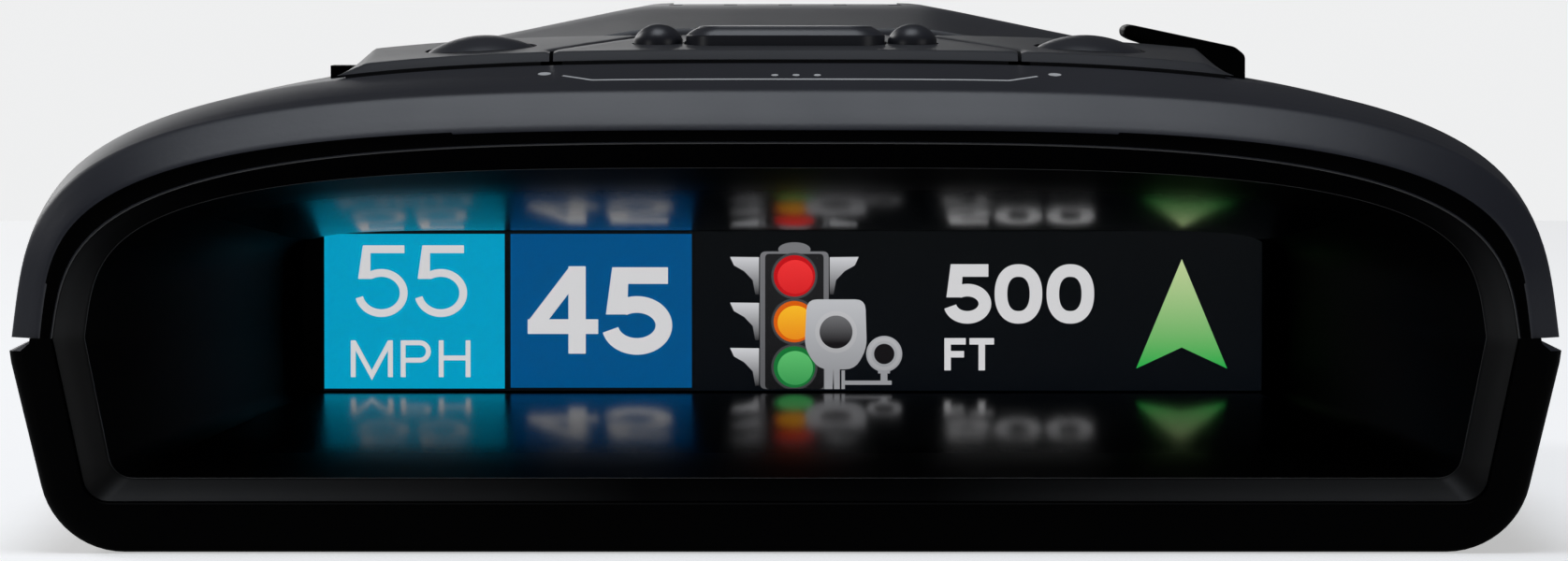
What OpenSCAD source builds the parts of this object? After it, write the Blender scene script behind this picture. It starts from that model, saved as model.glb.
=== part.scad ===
// Windshield radar detector with a deep-set colour display.
// Millimetres. +X right as the driver sees it, +Y towards the windshield, +Z up.
// The origin is under the middle of the case, on the surface it rests on.

/* [Case] */
// Length from the display end to the windshield end
body_l = 137; // [134:1:140]
// Width of the case at the seam
body_w = 87; // [86:0.5:88]
// Height of the flat top of the raised spine
body_h = 30.5; // [30.3:0.1:30.8]
// Height of the seam between the two shells
seam_z = 12; // [11.8:0.1:12.2]
// Wall thickness of both shells
wall = 1.8; // [1.6:0.1:2]

/* [Display] */
// Width of the lit area
display_w = 56; // [54:0.5:57]
// Height of the lit area
display_h = 9.4; // [9:0.1:9.6]
// Height of the middle of the display
display_z = 12.55; // [12.4:0.05:12.7]
// Depth of the display behind the front face
display_depth = 25; // [24:0.5:26]
// Height of the top of the hood's mouth
mouth_top = 21.5; // [21.3:0.1:21.6]
// Height of the bottom of the hood's mouth
mouth_floor = 4.1; // [4:0.1:4.3]
// Half width of the hood's mouth at the seam
mouth_half = 39.3; // [39:0.1:39.5]

/* [Keypad] */
// Width of the whole keypad
keypad_w = 51; // [50:0.5:52]
// Width of the middle part of the keypad
deck_w = 26.4; // [26:0.1:27]
// Depth of the keypad, front to back
keypad_d = 14; // [13.5:0.5:14.5]
// Distance of the keypad behind the front face
keypad_front = 8; // [7.5:0.5:8.5]
// Travel of each button
travel = 0.6; // [0.4:0.1:0.7]
// Width of the long middle button
bar_w = 11.4; // [11:0.1:11.6]
// Radius of the two small round buttons
small_r = 1.4; // [1.3:0.05:1.4]
// Radius of the two large round buttons
large_r = 3.1; // [2.8:0.1:3.2]

/* [Mount] */
// Width of the steel mounting plate
plate_w = 14; // [13:0.5:14.5]
// Length of the steel mounting plate
plate_l = 24; // [22:1:26]
// Spacing of the two locating holes
locator_pitch = 16; // [14:1:17]
// Radius of the locating holes
locator_r = 1.5; // [1.3:0.1:1.6]

/* [Sockets] */
// Radius of the earphone bore
phone_r = 1.8; // [1.75:0.05:1.85]
// Width of the power socket's hollow
power_w = 9.6; // [9.4:0.1:9.8]
// Height of the power socket's hollow
power_h = 6.4; // [6.2:0.1:6.5]

/* [Hidden] */
$fn = 48;

yf = -body_l / 2;
yb = body_l / 2;
half_w = body_w / 2;
slack = 0.1;
tiny = 0.01;

// Shape of the arched top: two exponents and an inward lean
side_exp = 3;
crown_exp = 3.6;
lean = 0.087;
arch_h = 27.46 - seam_z;
arch_steps = 24;

// Lower shell: side slope, corner radius and the notch along the seam
side_slope = 13.5;
corner_r = 4.8;
notch_drop = 0.8;
notch_depth = 1.3;

// Points of the side outline
band = 2;
band_drop = 2.15;
rim_top = 25.9;
rise_len = 8;
fall_start = -20;
nose_top = [57, 21.5];
nose_mid = [64.5, 19.2];
nose_low = [66, 3];
floor_end = 58;

// Raised spine
spine_half = 8.5;
spine_skirt = 30;
spine_floor = 18;
spine_front = yf + 22.6;
spine_ramp = yf + 32;
spine_back = 6;

// Depths behind the front face
lip_y = yf + 0.2;
mouth_y = yf + 1.7;
display_y = yf + display_depth;

// Levels inside
board_z = 8;
board_t = 1.6;
key_board_z = 22;
key_z = key_board_z + 4 + travel;
deck_rise = 0.65;
deck_tilt = 3.5;

// Screws
posts = [[35, -36, 22.4], [30, 46, 21.3]];
post_r = 3;
screw_r = 1;
seat_z = 2.7;
board_posts = [[14, -33], [31, 18]];

// Ports
port_y = -18;
phone_y = -2;
port_z = 6.9;
port_face = 39.2;

// Release lever
lever_y = [yf + 24, yf + 31.5];
lever_pivot = [25.2, 27];
lug_w = 1.4;
pin_r = 0.5;

function mirror_x(p) = [for (i = [len(p) - 1:-1:0]) [-p[i][0], p[i][1]]];

function arch(a, h, n, m, k, z0) = [
    for (i = [0:arch_steps])
        let (t = 180 * i / arch_steps, z = h * pow(abs(sin(t)), 2 / m))
            [sign(cos(t)) * (a - k * z) * pow(abs(cos(t)), 2 / n), z0 + z]
];

// Right half of a tub outline, from its top edge down to the floor
function tub_half(x, top, floor, slope, r) =
    let (cx = x - tan(slope) * (top - floor - r) - r / cos(slope))
        [for (i = [0:6]) let (t = slope + (90 - slope) * i / 6)
            [cx + r * cos(t), floor + r - r * sin(t)]];

function tub(x, top, floor, slope, r) =
    concat([[x, top]], tub_half(x, top, floor, slope, r),
        mirror_x(tub_half(x, top, floor, slope, r)), [[-x, top]]);

// A closed outline: arch above, tub below
function opening(a, top, floor, z0, n, m, k, slope, r) =
    let (side = tub_half(a, z0, floor, slope, r))
        concat(arch(a, top - z0, n, m, k, z0),
            [for (p = side) [-p[0], p[1]]],
            [for (i = [len(side) - 1:-1:0]) side[i]]);

function ease(s) = s * s * (3 - 2 * s);
function plan_half(y) =
    y < -30 ? half_w : half_w - 4.5 * ease(min(1, (y + 30) / 78));

module along_y(y0, y1) {
    translate([0, y1, 0]) rotate([90, 0, 0]) linear_extrude(y1 - y0) children();
}

module across_x(half) {
    translate([-half, 0, 0]) rotate([90, 0, 90]) linear_extrude(2 * half) children();
}

// Plan of the case, inset by w; the front corners carry the chamfer
module plan(w) {
    nose_y = 48;
    nose_half = plan_half(nose_y);
    side = concat(
        [[half_w - band, yf + w], [half_w - w, yf + band + w]],
        [for (y = [-30:13:35]) [plan_half(y) - w, y]],
        [for (i = [0:9]) let (t = 10 * i)
            [(nose_half - w) * pow(cos(t), 0.77), nose_y + (yb - w - nose_y) * pow(sin(t), 0.77)]]);
    polygon(concat(side, mirror_x(side)));
}

module upper_side(w) {
    polygon([
        [yf + w, 0], [yf + w, rim_top - band_drop - w / 2], [yf + band + w / 2, rim_top - w],
        [yf + rise_len, seam_z + arch_h - w], [fall_start, seam_z + arch_h - w],
        [nose_top[0], nose_top[1] - w], [nose_mid[0] - w / 2, nose_mid[1] - w],
        [yb - w, 15], [yb - w, 0]]);
}

module lower_side(w) {
    polygon([
        [yf + w, w], [floor_end, w], [nose_low[0] - w / 2, nose_low[1] + w],
        [yb - w, 7], [yb - w, 20], [yf + w, 20]]);
}

// Section of the raised spine: flat top, sloping sides, skirt inside the case
function spine_ring(y, half, top, skirt, foot, w) = [
    [-skirt + w, y, spine_floor], [skirt - w, y, spine_floor], [skirt - w, y, foot - w],
    [half, y, top - w], [-half, y, top - w], [-skirt + w, y, foot - w]];

module spine(w) {
    rings = [
        spine_ring(spine_front + w, spine_half, 29.1, 20, 26.7, w),
        spine_ring(spine_ramp, spine_half, body_h, spine_skirt, 25.9, w),
        spine_ring(spine_back, spine_half, body_h, spine_skirt, 24.3, w),
        spine_ring(nose_top[0] - w, spine_half - 2, nose_top[1] + 0.1, 20, 20.6, w)];
    count = len(rings[0]);
    last = (len(rings) - 1) * count;
    polyhedron(
        points = [for (r = rings, p = r) p],
        faces = concat(
            [[for (i = [count - 1:-1:0]) i], [for (i = [0:count - 1]) last + i]],
            [for (j = [0:len(rings) - 2], i = [0:count - 1])
                let (a = j * count + i, b = j * count + (i + 1) % count)
                each [[a, b, a + count], [b, b + count, a + count]]]),
        convexity = 4);
}

module upper_solid(w) {
    intersection() {
        along_y(yf, yb) polygon(arch(half_w - w, arch_h - w, side_exp, crown_exp, lean, seam_z));
        across_x(half_w) upper_side(w);
        linear_extrude(40) plan(w);
    }
    spine(w);
}

module upper_wall() {
    difference() {
        upper_solid(0);
        upper_solid(wall);
    }
}

function lip_outline() = opening(41.15, 23, 2.8, seam_z, 3.31, 3.38, 0.145, 12, 1.5);
function mouth_outline() =
    opening(mouth_half, mouth_top, mouth_floor, seam_z, 3.48, 3.77, 0.131, 11.3, 1.4);

module lens_window(gap) {
    translate([-24 + gap, nose_mid[0] - 6, 13.4 + gap])
        cube([48 - 2 * gap, 14, 4.4 - 2 * gap]);
}

module key_window(grow) {
    translate([-keypad_w / 2 + 2.2 - grow, yf + keypad_front + 1.4 - grow, 18])
        cube([keypad_w - 4.4 + 2 * grow, keypad_d - 2.8 + 2 * grow, 20]);
}

module mount_recess(gap, floor_z, h) {
    translate([-plate_w / 2 - gap, -16 - gap, floor_z])
        cube([plate_w + 2 * gap, plate_l + 2 * gap, h]);
}

module locators(r, z, h) {
    for (s = [-1, 1]) translate([0, -16 + plate_l / 2 + s * locator_pitch / 2, z]) cylinder(r = r, h = h);
}

module upper_shell() {
    color("#15171b") difference() {
        union() {
            difference() {
                upper_wall();
                translate([lever_pivot[0] - 1.15, lever_y[0] - slack, lever_pivot[1] - 1.05])
                    cube([2.9, lever_y[1] - lever_y[0] + 2 * slack, 4]);
            }
            for (p = posts, s = [-1, 1])
                translate([s * p[0], p[1], seam_z]) cylinder(r = post_r, h = p[2] - seam_z);
            mount_recess(1.3, body_h - 3.6, 2.8);
            for (y = [lever_y[0] + 1, lever_y[1] - 1 - lug_w])
                translate([lever_pivot[0] - 0.9, y, 25]) cube([1.8, lug_w, 2.75]);
        }
        along_y(yf - 1, yf + wall + tiny) polygon(lip_outline());
        key_window(0);
        lens_window(0);
        guide_block(slack);
        mount_recess(slack, body_h - 1.6, 4);
        locators(locator_r, body_h - 5, 6);
        for (p = posts, s = [-1, 1])
            translate([s * p[0], p[1], seam_z - 1]) cylinder(r = screw_r + 0.05, h = 8);
        // speaker slots along the spine and the sound slit on the right shoulder
        for (x = [-6.6, -3.3, 0, 3.3, 6.6], y = [-34, -27])
            translate([x - 0.4, y, body_h - 3]) cube([0.8, 4.2, 4]);
        translate([26.6, yf + 12, 20]) cube([5, 0.6, 8]);
        translate([lever_pivot[0], lever_y[0], lever_pivot[1]])
            rotate([-90, 0, 0]) cylinder(r = pin_r, h = lever_y[1] - lever_y[0]);
    }
}

// Tub with the seam notch cut into its outer edge
function notched_tub() =
    let (half = concat([[half_w - notch_depth, seam_z], [half_w - notch_depth, seam_z - 0.25],
        [half_w, seam_z - notch_drop]], tub_half(half_w, seam_z - notch_drop, 0, side_slope, corner_r)))
    concat(half, mirror_x(half));

module lower_outside() {
    intersection() {
        along_y(yf, yb) polygon(notched_tub());
        across_x(half_w + 1) lower_side(0);
        linear_extrude(seam_z + 1) plan(0);
    }
}

module lower_hollow() {
    intersection() {
        along_y(yf, yb) polygon(tub(half_w - wall + 3 * tan(side_slope), seam_z + 3 - notch_drop,
            wall, side_slope, corner_r - wall / 2));
        across_x(half_w + 1) lower_side(wall);
        linear_extrude(40) plan(wall + 1);
    }
}

module power_hollow(depth) {
    translate([-port_face - 6, port_y - power_w / 2, port_z - power_h / 2])
        cube([6 + depth, power_w, power_h]);
}

module usb_outline(grow) {
    for (s = [-1, 1]) translate([s * 2.9, 0]) circle(r = 1.55 + grow);
    square([5.8, 3.1 + 2 * grow], center = true);
}

module lower_shell() {
    color("#0c0d0f") difference() {
        union() {
            difference() {
                lower_outside();
                lower_hollow();
            }
            for (p = posts, s = [-1, 1])
                translate([s * p[0], p[1], 1]) cylinder(r = post_r, h = seam_z - 1);
            for (p = board_posts, s = [-1, 1])
                translate([s * p[0], p[1], 1]) cylinder(r = 2.3, h = board_z - 1);
        }
        along_y(yf - 1, yf + wall + 1.2) polygon(lip_outline());
        power_hollow(1);
        translate([-half_w - 1, phone_y, port_z]) rotate([0, 90, 0]) cylinder(r = 3, h = 6.5);
        translate([half_w - 6, port_y, port_z]) rotate([90, 0, 90]) linear_extrude(8) usb_outline(0.2);
        for (p = posts, s = [-1, 1]) translate([s * p[0], p[1], -1]) {
            cylinder(r = screw_r + 0.3, h = 20);
            cylinder(r = 2.5, h = 1 + seat_z);
        }
        for (p = board_posts, s = [-1, 1])
            translate([s * p[0], p[1], 3]) cylinder(r = 0.85, h = 10);
    }
}

// Closed loft through rings of equal length; the last ring joins the first
module ring_loft(rings) {
    count = len(rings[0]);
    total = len(rings);
    polyhedron(
        points = [for (r = rings, p = r) p],
        faces = [for (j = [0:total - 1], i = [0:count - 1])
            let (j2 = (j + 1) % total, i2 = (i + 1) % count,
                a = j * count + i, b = j * count + i2, c = j2 * count + i2, d = j2 * count + i)
            each [[a, b, c], [a, c, d]]],
        convexity = 6);
}

function at_y(outline, y) = [for (p = outline) [p[0], y, p[1]]];

module front_bezel() {
    color("#2a2c30") ring_loft([
        at_y(mouth_outline(), mouth_y),
        at_y(opening(41.05, 22.9, 2.9, seam_z, 3.31, 3.38, 0.145, 12, 1.5), mouth_y),
        at_y(opening(41.05, 22.9, 2.9, seam_z, 3.31, 3.38, 0.145, 12, 1.5), lip_y)
    ]);
}

// Hood section at u = 0 on the display to u = 1 at the mouth
function mix(a, b, u) = a + (b - a) * u;
function hood_outline(u, grow) =
    opening(mix(display_w / 2 + 0.3, mouth_half, u) + grow,
        mix(display_z + display_h / 2 + 0.1, mouth_top, u * u) + grow,
        mix(display_z - display_h / 2 - 0.1, mouth_floor, u * u) - grow,
        mix(display_z, seam_z, u),
        mix(14, 3.48, sqrt(u)), mix(14, 3.77, sqrt(u)), mix(0, 0.131, u),
        mix(0.5, 11.3, u), mix(0.6, 1.4, u) + grow / 2);

module display_hood() {
    hood_t = 1.3;
    stations = 6;
    far = mouth_y + 0.05;
    inner = [for (i = [0:stations]) let (u = i / stations)
        at_y(hood_outline(u, 0), mix(display_y, far, u))];
    outer = [for (i = [stations:-1:0]) let (u = i / stations)
        at_y(hood_outline(u, hood_t), mix(display_y, far, u))];
    color("#050506") ring_loft(concat(outer, inner));
}

module display_plate(w, h, y0, t) {
    translate([-w / 2, y0, display_z - h / 2]) cube([w, t, h]);
}

module display_window() {
    color("#20252c") display_plate(display_w + 3, display_h + 3, display_y + 0.05, 1);
}

module display_panel() {
    color("#1c4f80") display_plate(display_w + 4, display_h + 3.4, display_y + 1.1, 2.6);
}

module display_bracket() {
    back = display_y + 3.75;
    color("#3a3d42") difference() {
        display_plate(display_w + 8, display_h + 6.8, display_y + 1.1, 4.2);
        display_plate(display_w + 4.2, display_h + 3.6, display_y + 1, 2.75);
        display_plate(display_w - 20, display_h - 4, back - 1, 6);
    }
}

module display_ribbon() {
    color("#8a5a20") {
        translate([-9, display_y + 3.72, display_z - 1.5]) cube([18, 2.2, 0.25]);
        translate([-9, display_y + 5.7, board_z + board_t]) cube([18, 0.25, display_z - 1.5 - board_z - board_t + 0.25]);
    }
}

// Keypad slab between two arches, over x0..x1
module keypad_slab(x0, x1) {
    top = arch_h + deck_rise;
    front = yf + keypad_front;
    intersection() {
        difference() {
            translate([0, front, seam_z + top]) rotate([deck_tilt, 0, 0])
                translate([0, -front, -seam_z - top]) along_y(yf, yb)
                    polygon(arch(half_w, top, side_exp, crown_exp, lean, seam_z));
            along_y(yf - 1, yb)
                polygon(arch(half_w + 1, arch_h + 0.05, side_exp, crown_exp, lean, seam_z));
        }
        translate([x0, yf, 0]) cube([x1 - x0, body_l, 40]);
        across_x(half_w) polygon([
            [front, 20], [front, seam_z + top - 1.4], [front + 1.8, seam_z + top + 0.4],
            [front + 2.6, 40], [front + keypad_d, 40], [front + keypad_d, 20]]);
    }
}

module key_hole(x, r) {
    translate([x, key_y, 20]) cylinder(r = r + 0.25, h = 20);
}

key_y = yf + keypad_front + 7;
small_x = 7.3;
large_x = 17.5;

module bar_outline(grow) {
    r = 1.6;
    for (sx = [-1, 1], sy = [-1, 1])
        translate([sx * (bar_w / 2 - r), sy * 0.7]) circle(r = r + grow);
    square([bar_w - 2 * r, 4.6 + 2 * grow], center = true);
    square([bar_w + 2 * grow, 1.4], center = true);
}

// Tongue that drops through the case window and locates a keypad piece
module tongue(x, w, top) {
    for (y = [yf + keypad_front + 1.5, yf + keypad_front + keypad_d - 2.5])
        translate([x - w / 2, y, 24.8]) cube([w, 1, top - 24.8]);
}

module keypad_deck() {
    color("#191b20") difference() {
        union() {
            keypad_slab(-deck_w / 2, deck_w / 2);
            tongue(-deck_w / 2 + 2.5, 3, 27.8);
            tongue(deck_w / 2 - 2.5, 3, 27.8);
        }
        translate([0, key_y, 20]) linear_extrude(20) bar_outline(0.2);
        key_hole(-small_x, small_r);
        key_hole(small_x, small_r);
    }
}

module button_pod(side) {
    edge = deck_w / 2 + 0.25;
    difference() {
        union() {
            if (side > 0) keypad_slab(edge, keypad_w / 2);
            if (side < 0) keypad_slab(-keypad_w / 2, -edge);
            tongue(side * (keypad_w / 2 - 3.9), 3, 27.1);
        }
        key_hole(side * large_x, large_r);
    }
}

module left_button_pod() {
    color("#191b20") button_pod(-1);
}

module right_button_pod() {
    color("#191b20") button_pod(1);
}

// Round button: domed cap, flange under the keypad and a stem over its switch
module round_button(x, r, z_cap, flange_z) {
    dome = 0.85;
    big = (r * r + dome * dome) / (2 * dome);
    translate([x, key_y, 0]) {
        translate([0, 0, key_z - 1]) cylinder(r = r, h = z_cap - key_z + 1 + tiny);
        intersection() {
            translate([0, 0, z_cap]) cylinder(r = r, h = dome);
            translate([0, 0, z_cap + dome - big]) sphere(r = big);
        }
        difference() {
            translate([0, 0, flange_z - 0.6]) cylinder(r = r + 0.6, h = 0.6);
            translate([-x, 0, flange_z - 1]) linear_extrude(2) bar_outline(0.12);
        }
    }
}

module mute_button() {
    color("#22252b") translate([0, key_y, 0]) {
        translate([0, 0, key_z - 1]) linear_extrude(29.1 - key_z + 1) bar_outline(0);
        translate([0, 0, key_z - 1 + tiny]) linear_extrude(29.4 - key_z + 1) bar_outline(-0.3);
        translate([-bar_w / 2 + 2, -2.9, 26.75]) cube([bar_w - 4, 5.8, 0.6]);
    }
}

module volume_down_button() {
    color("#22252b") round_button(-small_x, small_r, 28.65, 27.3);
}

module volume_up_button() {
    color("#22252b") round_button(small_x, small_r, 28.65, 27.3);
}

module brightness_button() {
    color("#22252b") round_button(-large_x, large_r, 28, 26.7);
}

module sensitivity_button() {
    color("#22252b") round_button(large_x, large_r, 28, 26.7);
}

module keypad_board() {
    color("#1f5c37") translate([-keypad_w / 2 + 4, yf + keypad_front + 1.9, key_board_z])
        cube([keypad_w - 8, keypad_d - 3.8, 1]);
}

module keypad_switches() {
    color("#b9bcc2") for (x = [-large_x, -small_x, 0, small_x, large_x]) {
        translate([x - 1.8, key_y - 1.8, key_board_z + 1]) cube([3.6, 3.6, 1]);
        translate([x, key_y, key_board_z + 1]) cylinder(r = 0.9, h = 1.6);
    }
}

module on_pin(y, r, h) {
    translate([lever_pivot[0], y, lever_pivot[1]]) rotate([-90, 0, 0]) cylinder(r = r, h = h);
}

module release_lever() {
    length = lever_y[1] - lever_y[0];
    color("#08080a") difference() {
        union() {
            along_y(lever_y[0], lever_y[1]) polygon([
                [26.9, 26.75], [26.9, 27.6], [26.3, 28.1], [20.2, 29.4], [19.8, 29.2],
                [19.8, 28.75], [20.2, 28.5], [26.2, 27.2], [26.3, 26.75]]);
            on_pin(lever_y[0] + 2.7, 0.9, length - 6.4);
        }
        for (slot = [[lever_y[0] + 0.7, 2], [lever_y[1] - 3.7, 3]])
            translate([24, slot[0], 22]) cube([3.1, slot[1], 5.95]);
        on_pin(lever_y[0] - 1, pin_r + 0.05, length + 2);
    }
}

module lever_pin() {
    color("#c9ccd1") on_pin(lever_y[0] + 1, pin_r, lever_y[1] - lever_y[0] - 2);
}

module lever_spring() {
    color("#c9ccd1") difference() {
        on_pin(lever_y[1] - 3.6, 0.8, 1);
        on_pin(lever_y[1] - 4, pin_r + 0.05, 2);
    }
}

module guide_block(gap) {
    translate([-26.6 - gap, lever_y[0] - gap, 25.3]) cube([1.8 + 2 * gap, 4 + 2 * gap, 1.7]);
}

module guide_tab() {
    color("#08080a") guide_block(0);
}

module mount_plate() {
    color("#b4b7bc") difference() {
        mount_recess(0, body_h - 1.6, 0.8);
        locators(locator_r, body_h - 5, 6);
    }
}

module nose_lens() {
    color("#2a0508") intersection() {
        upper_wall();
        lens_window(slack);
    }
}

module laser_sensor() {
    color("#5d6167") {
        translate([-27, 46, board_z + board_t]) cube([12, 7, 8]);
        translate([-21, 53, board_z + board_t + 5]) rotate([-90, 0, 0]) cylinder(r = 2.8, h = 4);
    }
}

module main_board() {
    color("#1f5c37") difference() {
        intersection() {
            translate([-37, display_y + 5.5, board_z]) cube([74, 95, board_t]);
            translate([0, 0, board_z - 1]) linear_extrude(4) plan(wall + 1.6);
        }
        for (p = posts, s = [-1, 1]) translate([s * p[0], p[1], 0]) cylinder(r = post_r + 0.5, h = 20);
        for (p = board_posts, s = [-1, 1]) translate([s * p[0], p[1], 0]) cylinder(r = 1.1, h = 20);
        translate([-45, port_y - 6.8, 0]) cube([21, 13.6, 20]);
        translate([-45, phone_y - 3.8, 0]) cube([18.5, 7.6, 20]);
        translate([31, port_y - 5.2, 0]) cube([12, 10.4, 20]);
    }
}

module shield_can() {
    color("#a9adb3") difference() {
        translate([-16, -8, board_z + board_t]) cube([32, 24, 6]);
        translate([-15.6, -7.6, board_z + board_t - tiny]) cube([31.2, 23.2, 5.6]);
    }
}

// Waveguide horn: a flat-sided flare with a hollow mouth
module horn(length, throat_w, mouth_w, h) {
    t = 0.8;
    difference() {
        linear_extrude(h) polygon([[-throat_w / 2, 0], [throat_w / 2, 0],
            [mouth_w / 2, length], [-mouth_w / 2, length]]);
        translate([0, 0, t]) linear_extrude(h - 2 * t) polygon([
            [-throat_w / 2 + t, t + 3], [throat_w / 2 - t, t + 3],
            [mouth_w / 2 - t, length + tiny], [-mouth_w / 2 + t, length + tiny]]);
    }
}

module front_horn() {
    color("#a9adb3") translate([3, 20, board_z + board_t]) horn(34, 12, 28, 8.2);
}

module rear_horn() {
    color("#a9adb3") translate([17, -12, board_z + board_t]) rotate([0, 0, 180]) horn(18, 10, 17, 8);
}

module gps_antenna() {
    color("#d8d2c0") {
        translate([18, -8, board_z + board_t]) cube([16, 16, 4]);
        translate([20, -6, board_z + board_t + 4]) cube([12, 12, 0.3]);
    }
}

speaker_y = -27.5;

module speaker() {
    color("#33363b") translate([0, speaker_y, 0]) difference() {
        union() {
            translate([0, 0, 24.6]) cylinder(r = 9.2, h = 3.3);
            translate([0, 0, 21.8]) cylinder(r = 5.5, h = 3);
        }
        translate([0, 0, 26.7]) cylinder(r1 = 3, r2 = 8, h = 1.3);
    }
}

module speaker_gasket() {
    color("#111111") translate([0, speaker_y, 27.9]) difference() {
        cylinder(r = 9.2, h = 0.6);
        translate([0, 0, -1]) cylinder(r = 8.2, h = 3);
    }
}

module power_jack() {
    color("#101114") difference() {
        translate([-port_face, port_y - 5.8, port_z - 3.6]) cube([14, 11.6, 7.9]);
        power_hollow(12);
    }
}

module earphone_jack() {
    color("#101114") translate([-port_face - 1.4, phone_y, port_z]) rotate([0, 90, 0]) difference() {
        union() {
            cylinder(r = 2.9, h = 4);
            translate([-3.2, -3.2, 1.7]) cube([6.4, 6.4, 11]);
        }
        translate([0, 0, -1]) cylinder(r = phone_r, h = 12);
    }
}

module usb_port() {
    color("#c3c6cb") translate([port_face - 7, port_y, port_z]) rotate([90, 0, 90]) difference() {
        linear_extrude(8) usb_outline(0);
        translate([0, 0, 1]) linear_extrude(8) usb_outline(-0.3);
    }
}

module shell_screws() {
    color("#55585d") for (p = posts, s = [-1, 1]) translate([s * p[0], p[1], 0]) difference() {
        union() {
            translate([0, 0, seat_z - 1.7]) cylinder(r = 2.2, h = 1.7);
            translate([0, 0, seat_z - tiny]) cylinder(r = screw_r, h = 15);
        }
        translate([-1.3, -0.3, 0]) cube([2.6, 0.6, seat_z - 0.9]);
        translate([-0.3, -1.3, 0]) cube([0.6, 2.6, seat_z - 0.9]);
    }
}

module board_screws() {
    color("#55585d") for (p = board_posts, s = [-1, 1])
        translate([s * p[0], p[1], board_z + board_t]) {
            cylinder(r = 1.7, h = 1.2);
            translate([0, 0, -5]) cylinder(r = 0.8, h = 5 + tiny);
        }
}

upper_shell();
lower_shell();
front_bezel();
display_hood();
display_window();
display_panel();
display_bracket();
display_ribbon();
keypad_deck();
left_button_pod();
right_button_pod();
mute_button();
volume_down_button();
volume_up_button();
brightness_button();
sensitivity_button();
keypad_board();
keypad_switches();
release_lever();
lever_pin();
lever_spring();
guide_tab();
mount_plate();
nose_lens();
laser_sensor();
main_board();
shield_can();
front_horn();
rear_horn();
gps_antenna();
speaker();
speaker_gasket();
power_jack();
earphone_jack();
usb_port();
shell_screws();
board_screws();
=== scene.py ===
import math

import bmesh
import bpy
import numpy as np
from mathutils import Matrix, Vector


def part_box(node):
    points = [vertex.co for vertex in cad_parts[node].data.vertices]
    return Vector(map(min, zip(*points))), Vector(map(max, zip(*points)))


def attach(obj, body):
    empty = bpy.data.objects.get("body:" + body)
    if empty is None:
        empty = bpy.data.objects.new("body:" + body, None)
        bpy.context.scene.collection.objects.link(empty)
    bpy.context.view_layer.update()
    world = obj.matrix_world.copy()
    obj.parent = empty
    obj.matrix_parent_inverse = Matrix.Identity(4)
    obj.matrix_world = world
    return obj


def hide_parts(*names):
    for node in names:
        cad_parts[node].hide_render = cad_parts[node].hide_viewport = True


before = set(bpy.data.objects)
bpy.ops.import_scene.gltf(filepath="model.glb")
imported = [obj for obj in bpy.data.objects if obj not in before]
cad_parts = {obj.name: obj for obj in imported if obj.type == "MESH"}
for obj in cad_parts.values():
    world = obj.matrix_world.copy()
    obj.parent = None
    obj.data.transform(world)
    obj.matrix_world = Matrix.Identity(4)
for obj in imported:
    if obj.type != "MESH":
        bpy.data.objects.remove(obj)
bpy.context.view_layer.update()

# Windshield radar detector with a deep-set display. Lengths below are in millimetres.
MM = 0.001


def mm_box(node):
    low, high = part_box(node)
    return [v / MM for v in low], [v / MM for v in high]


# ---------------------------------------------------------------- sizes from the frame

LOWER_LO, LOWER_HI = mm_box("lower_shell")
UPPER_LO, UPPER_HI = mm_box("upper_shell")
FRONT, BACK = LOWER_LO[1], LOWER_HI[1]
HALF_W = LOWER_HI[0]
SEAM = UPPER_LO[2]
CREST = UPPER_HI[2]
WALL = 1.8

PANEL_LO, PANEL_HI = mm_box("display_panel")
WINDOW_LO = mm_box("display_window")[0]
DISPLAY_W = PANEL_HI[0] - PANEL_LO[0] - 4
DISPLAY_H = PANEL_HI[2] - PANEL_LO[2] - 3.4
DISPLAY_Z = (PANEL_HI[2] + PANEL_LO[2]) / 2
DISPLAY_LOW, DISPLAY_HIGH = DISPLAY_Z - DISPLAY_H / 2, DISPLAY_Z + DISPLAY_H / 2
DISPLAY_Y = WINDOW_LO[1] - 0.05

BEZEL_LO, BEZEL_HI = mm_box("front_bezel")
LIP_Y = BEZEL_LO[1]
MOUTH_Y = BEZEL_HI[1]

DECK_LO, DECK_HI = mm_box("keypad_deck")
KEYS_FRONT, KEYS_BACK = DECK_LO[1], DECK_HI[1]
DECK_HALF = DECK_HI[0]
KEYPAD_HALF = mm_box("right_button_pod")[1][0]

PLATE_LO, PLATE_HI = mm_box("mount_plate")
LEVER_LO, LEVER_HI = mm_box("release_lever")

# Shape of the arched top and of the lower tub
BODY_TOP = 27.3
DECK_RISE = 0.72
DECK_TILT = math.tan(math.radians(3.5))
SIDE_SLOPE = math.radians(13.5)
NOTCH_DROP, NOTCH_DEPTH = 0.72, 1.25
# The chamfered rim and the shoulder behind it end this far behind the front
RIM_DEPTH, SHOULDER_DEPTH = 2, 8
RIM_TOP = 25.9
LIP_HALF, LIP_TOP, LIP_FLOOR = 41.05, 22.95, 2.8
LIP_SHAPE = (3.31, 3.38, 0.14)
LIP_SLOPE, LIP_RADIUS = 12, 1.5
NOSE_Y = 48.0
NOSE_POWER = 0.77
# In plan the case narrows by this much on each side, from a start and over a length
NARROWING, NARROW_FROM, NARROW_OVER = 4.5, -30, 78


# ---------------------------------------------------------------- mesh helpers

def link(obj):
    bpy.context.scene.collection.objects.link(obj)
    return obj


def grid_faces(rows, cols, wrap_rows=False, wrap_cols=False, start=0):
    faces = []
    for r in range(rows if wrap_rows else rows - 1):
        for c in range(cols if wrap_cols else cols - 1):
            nr, nc = (r + 1) % rows, (c + 1) % cols
            faces.append((start + r * cols + c, start + r * cols + nc,
                          start + nr * cols + nc, start + nr * cols + c))
    return faces


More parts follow.
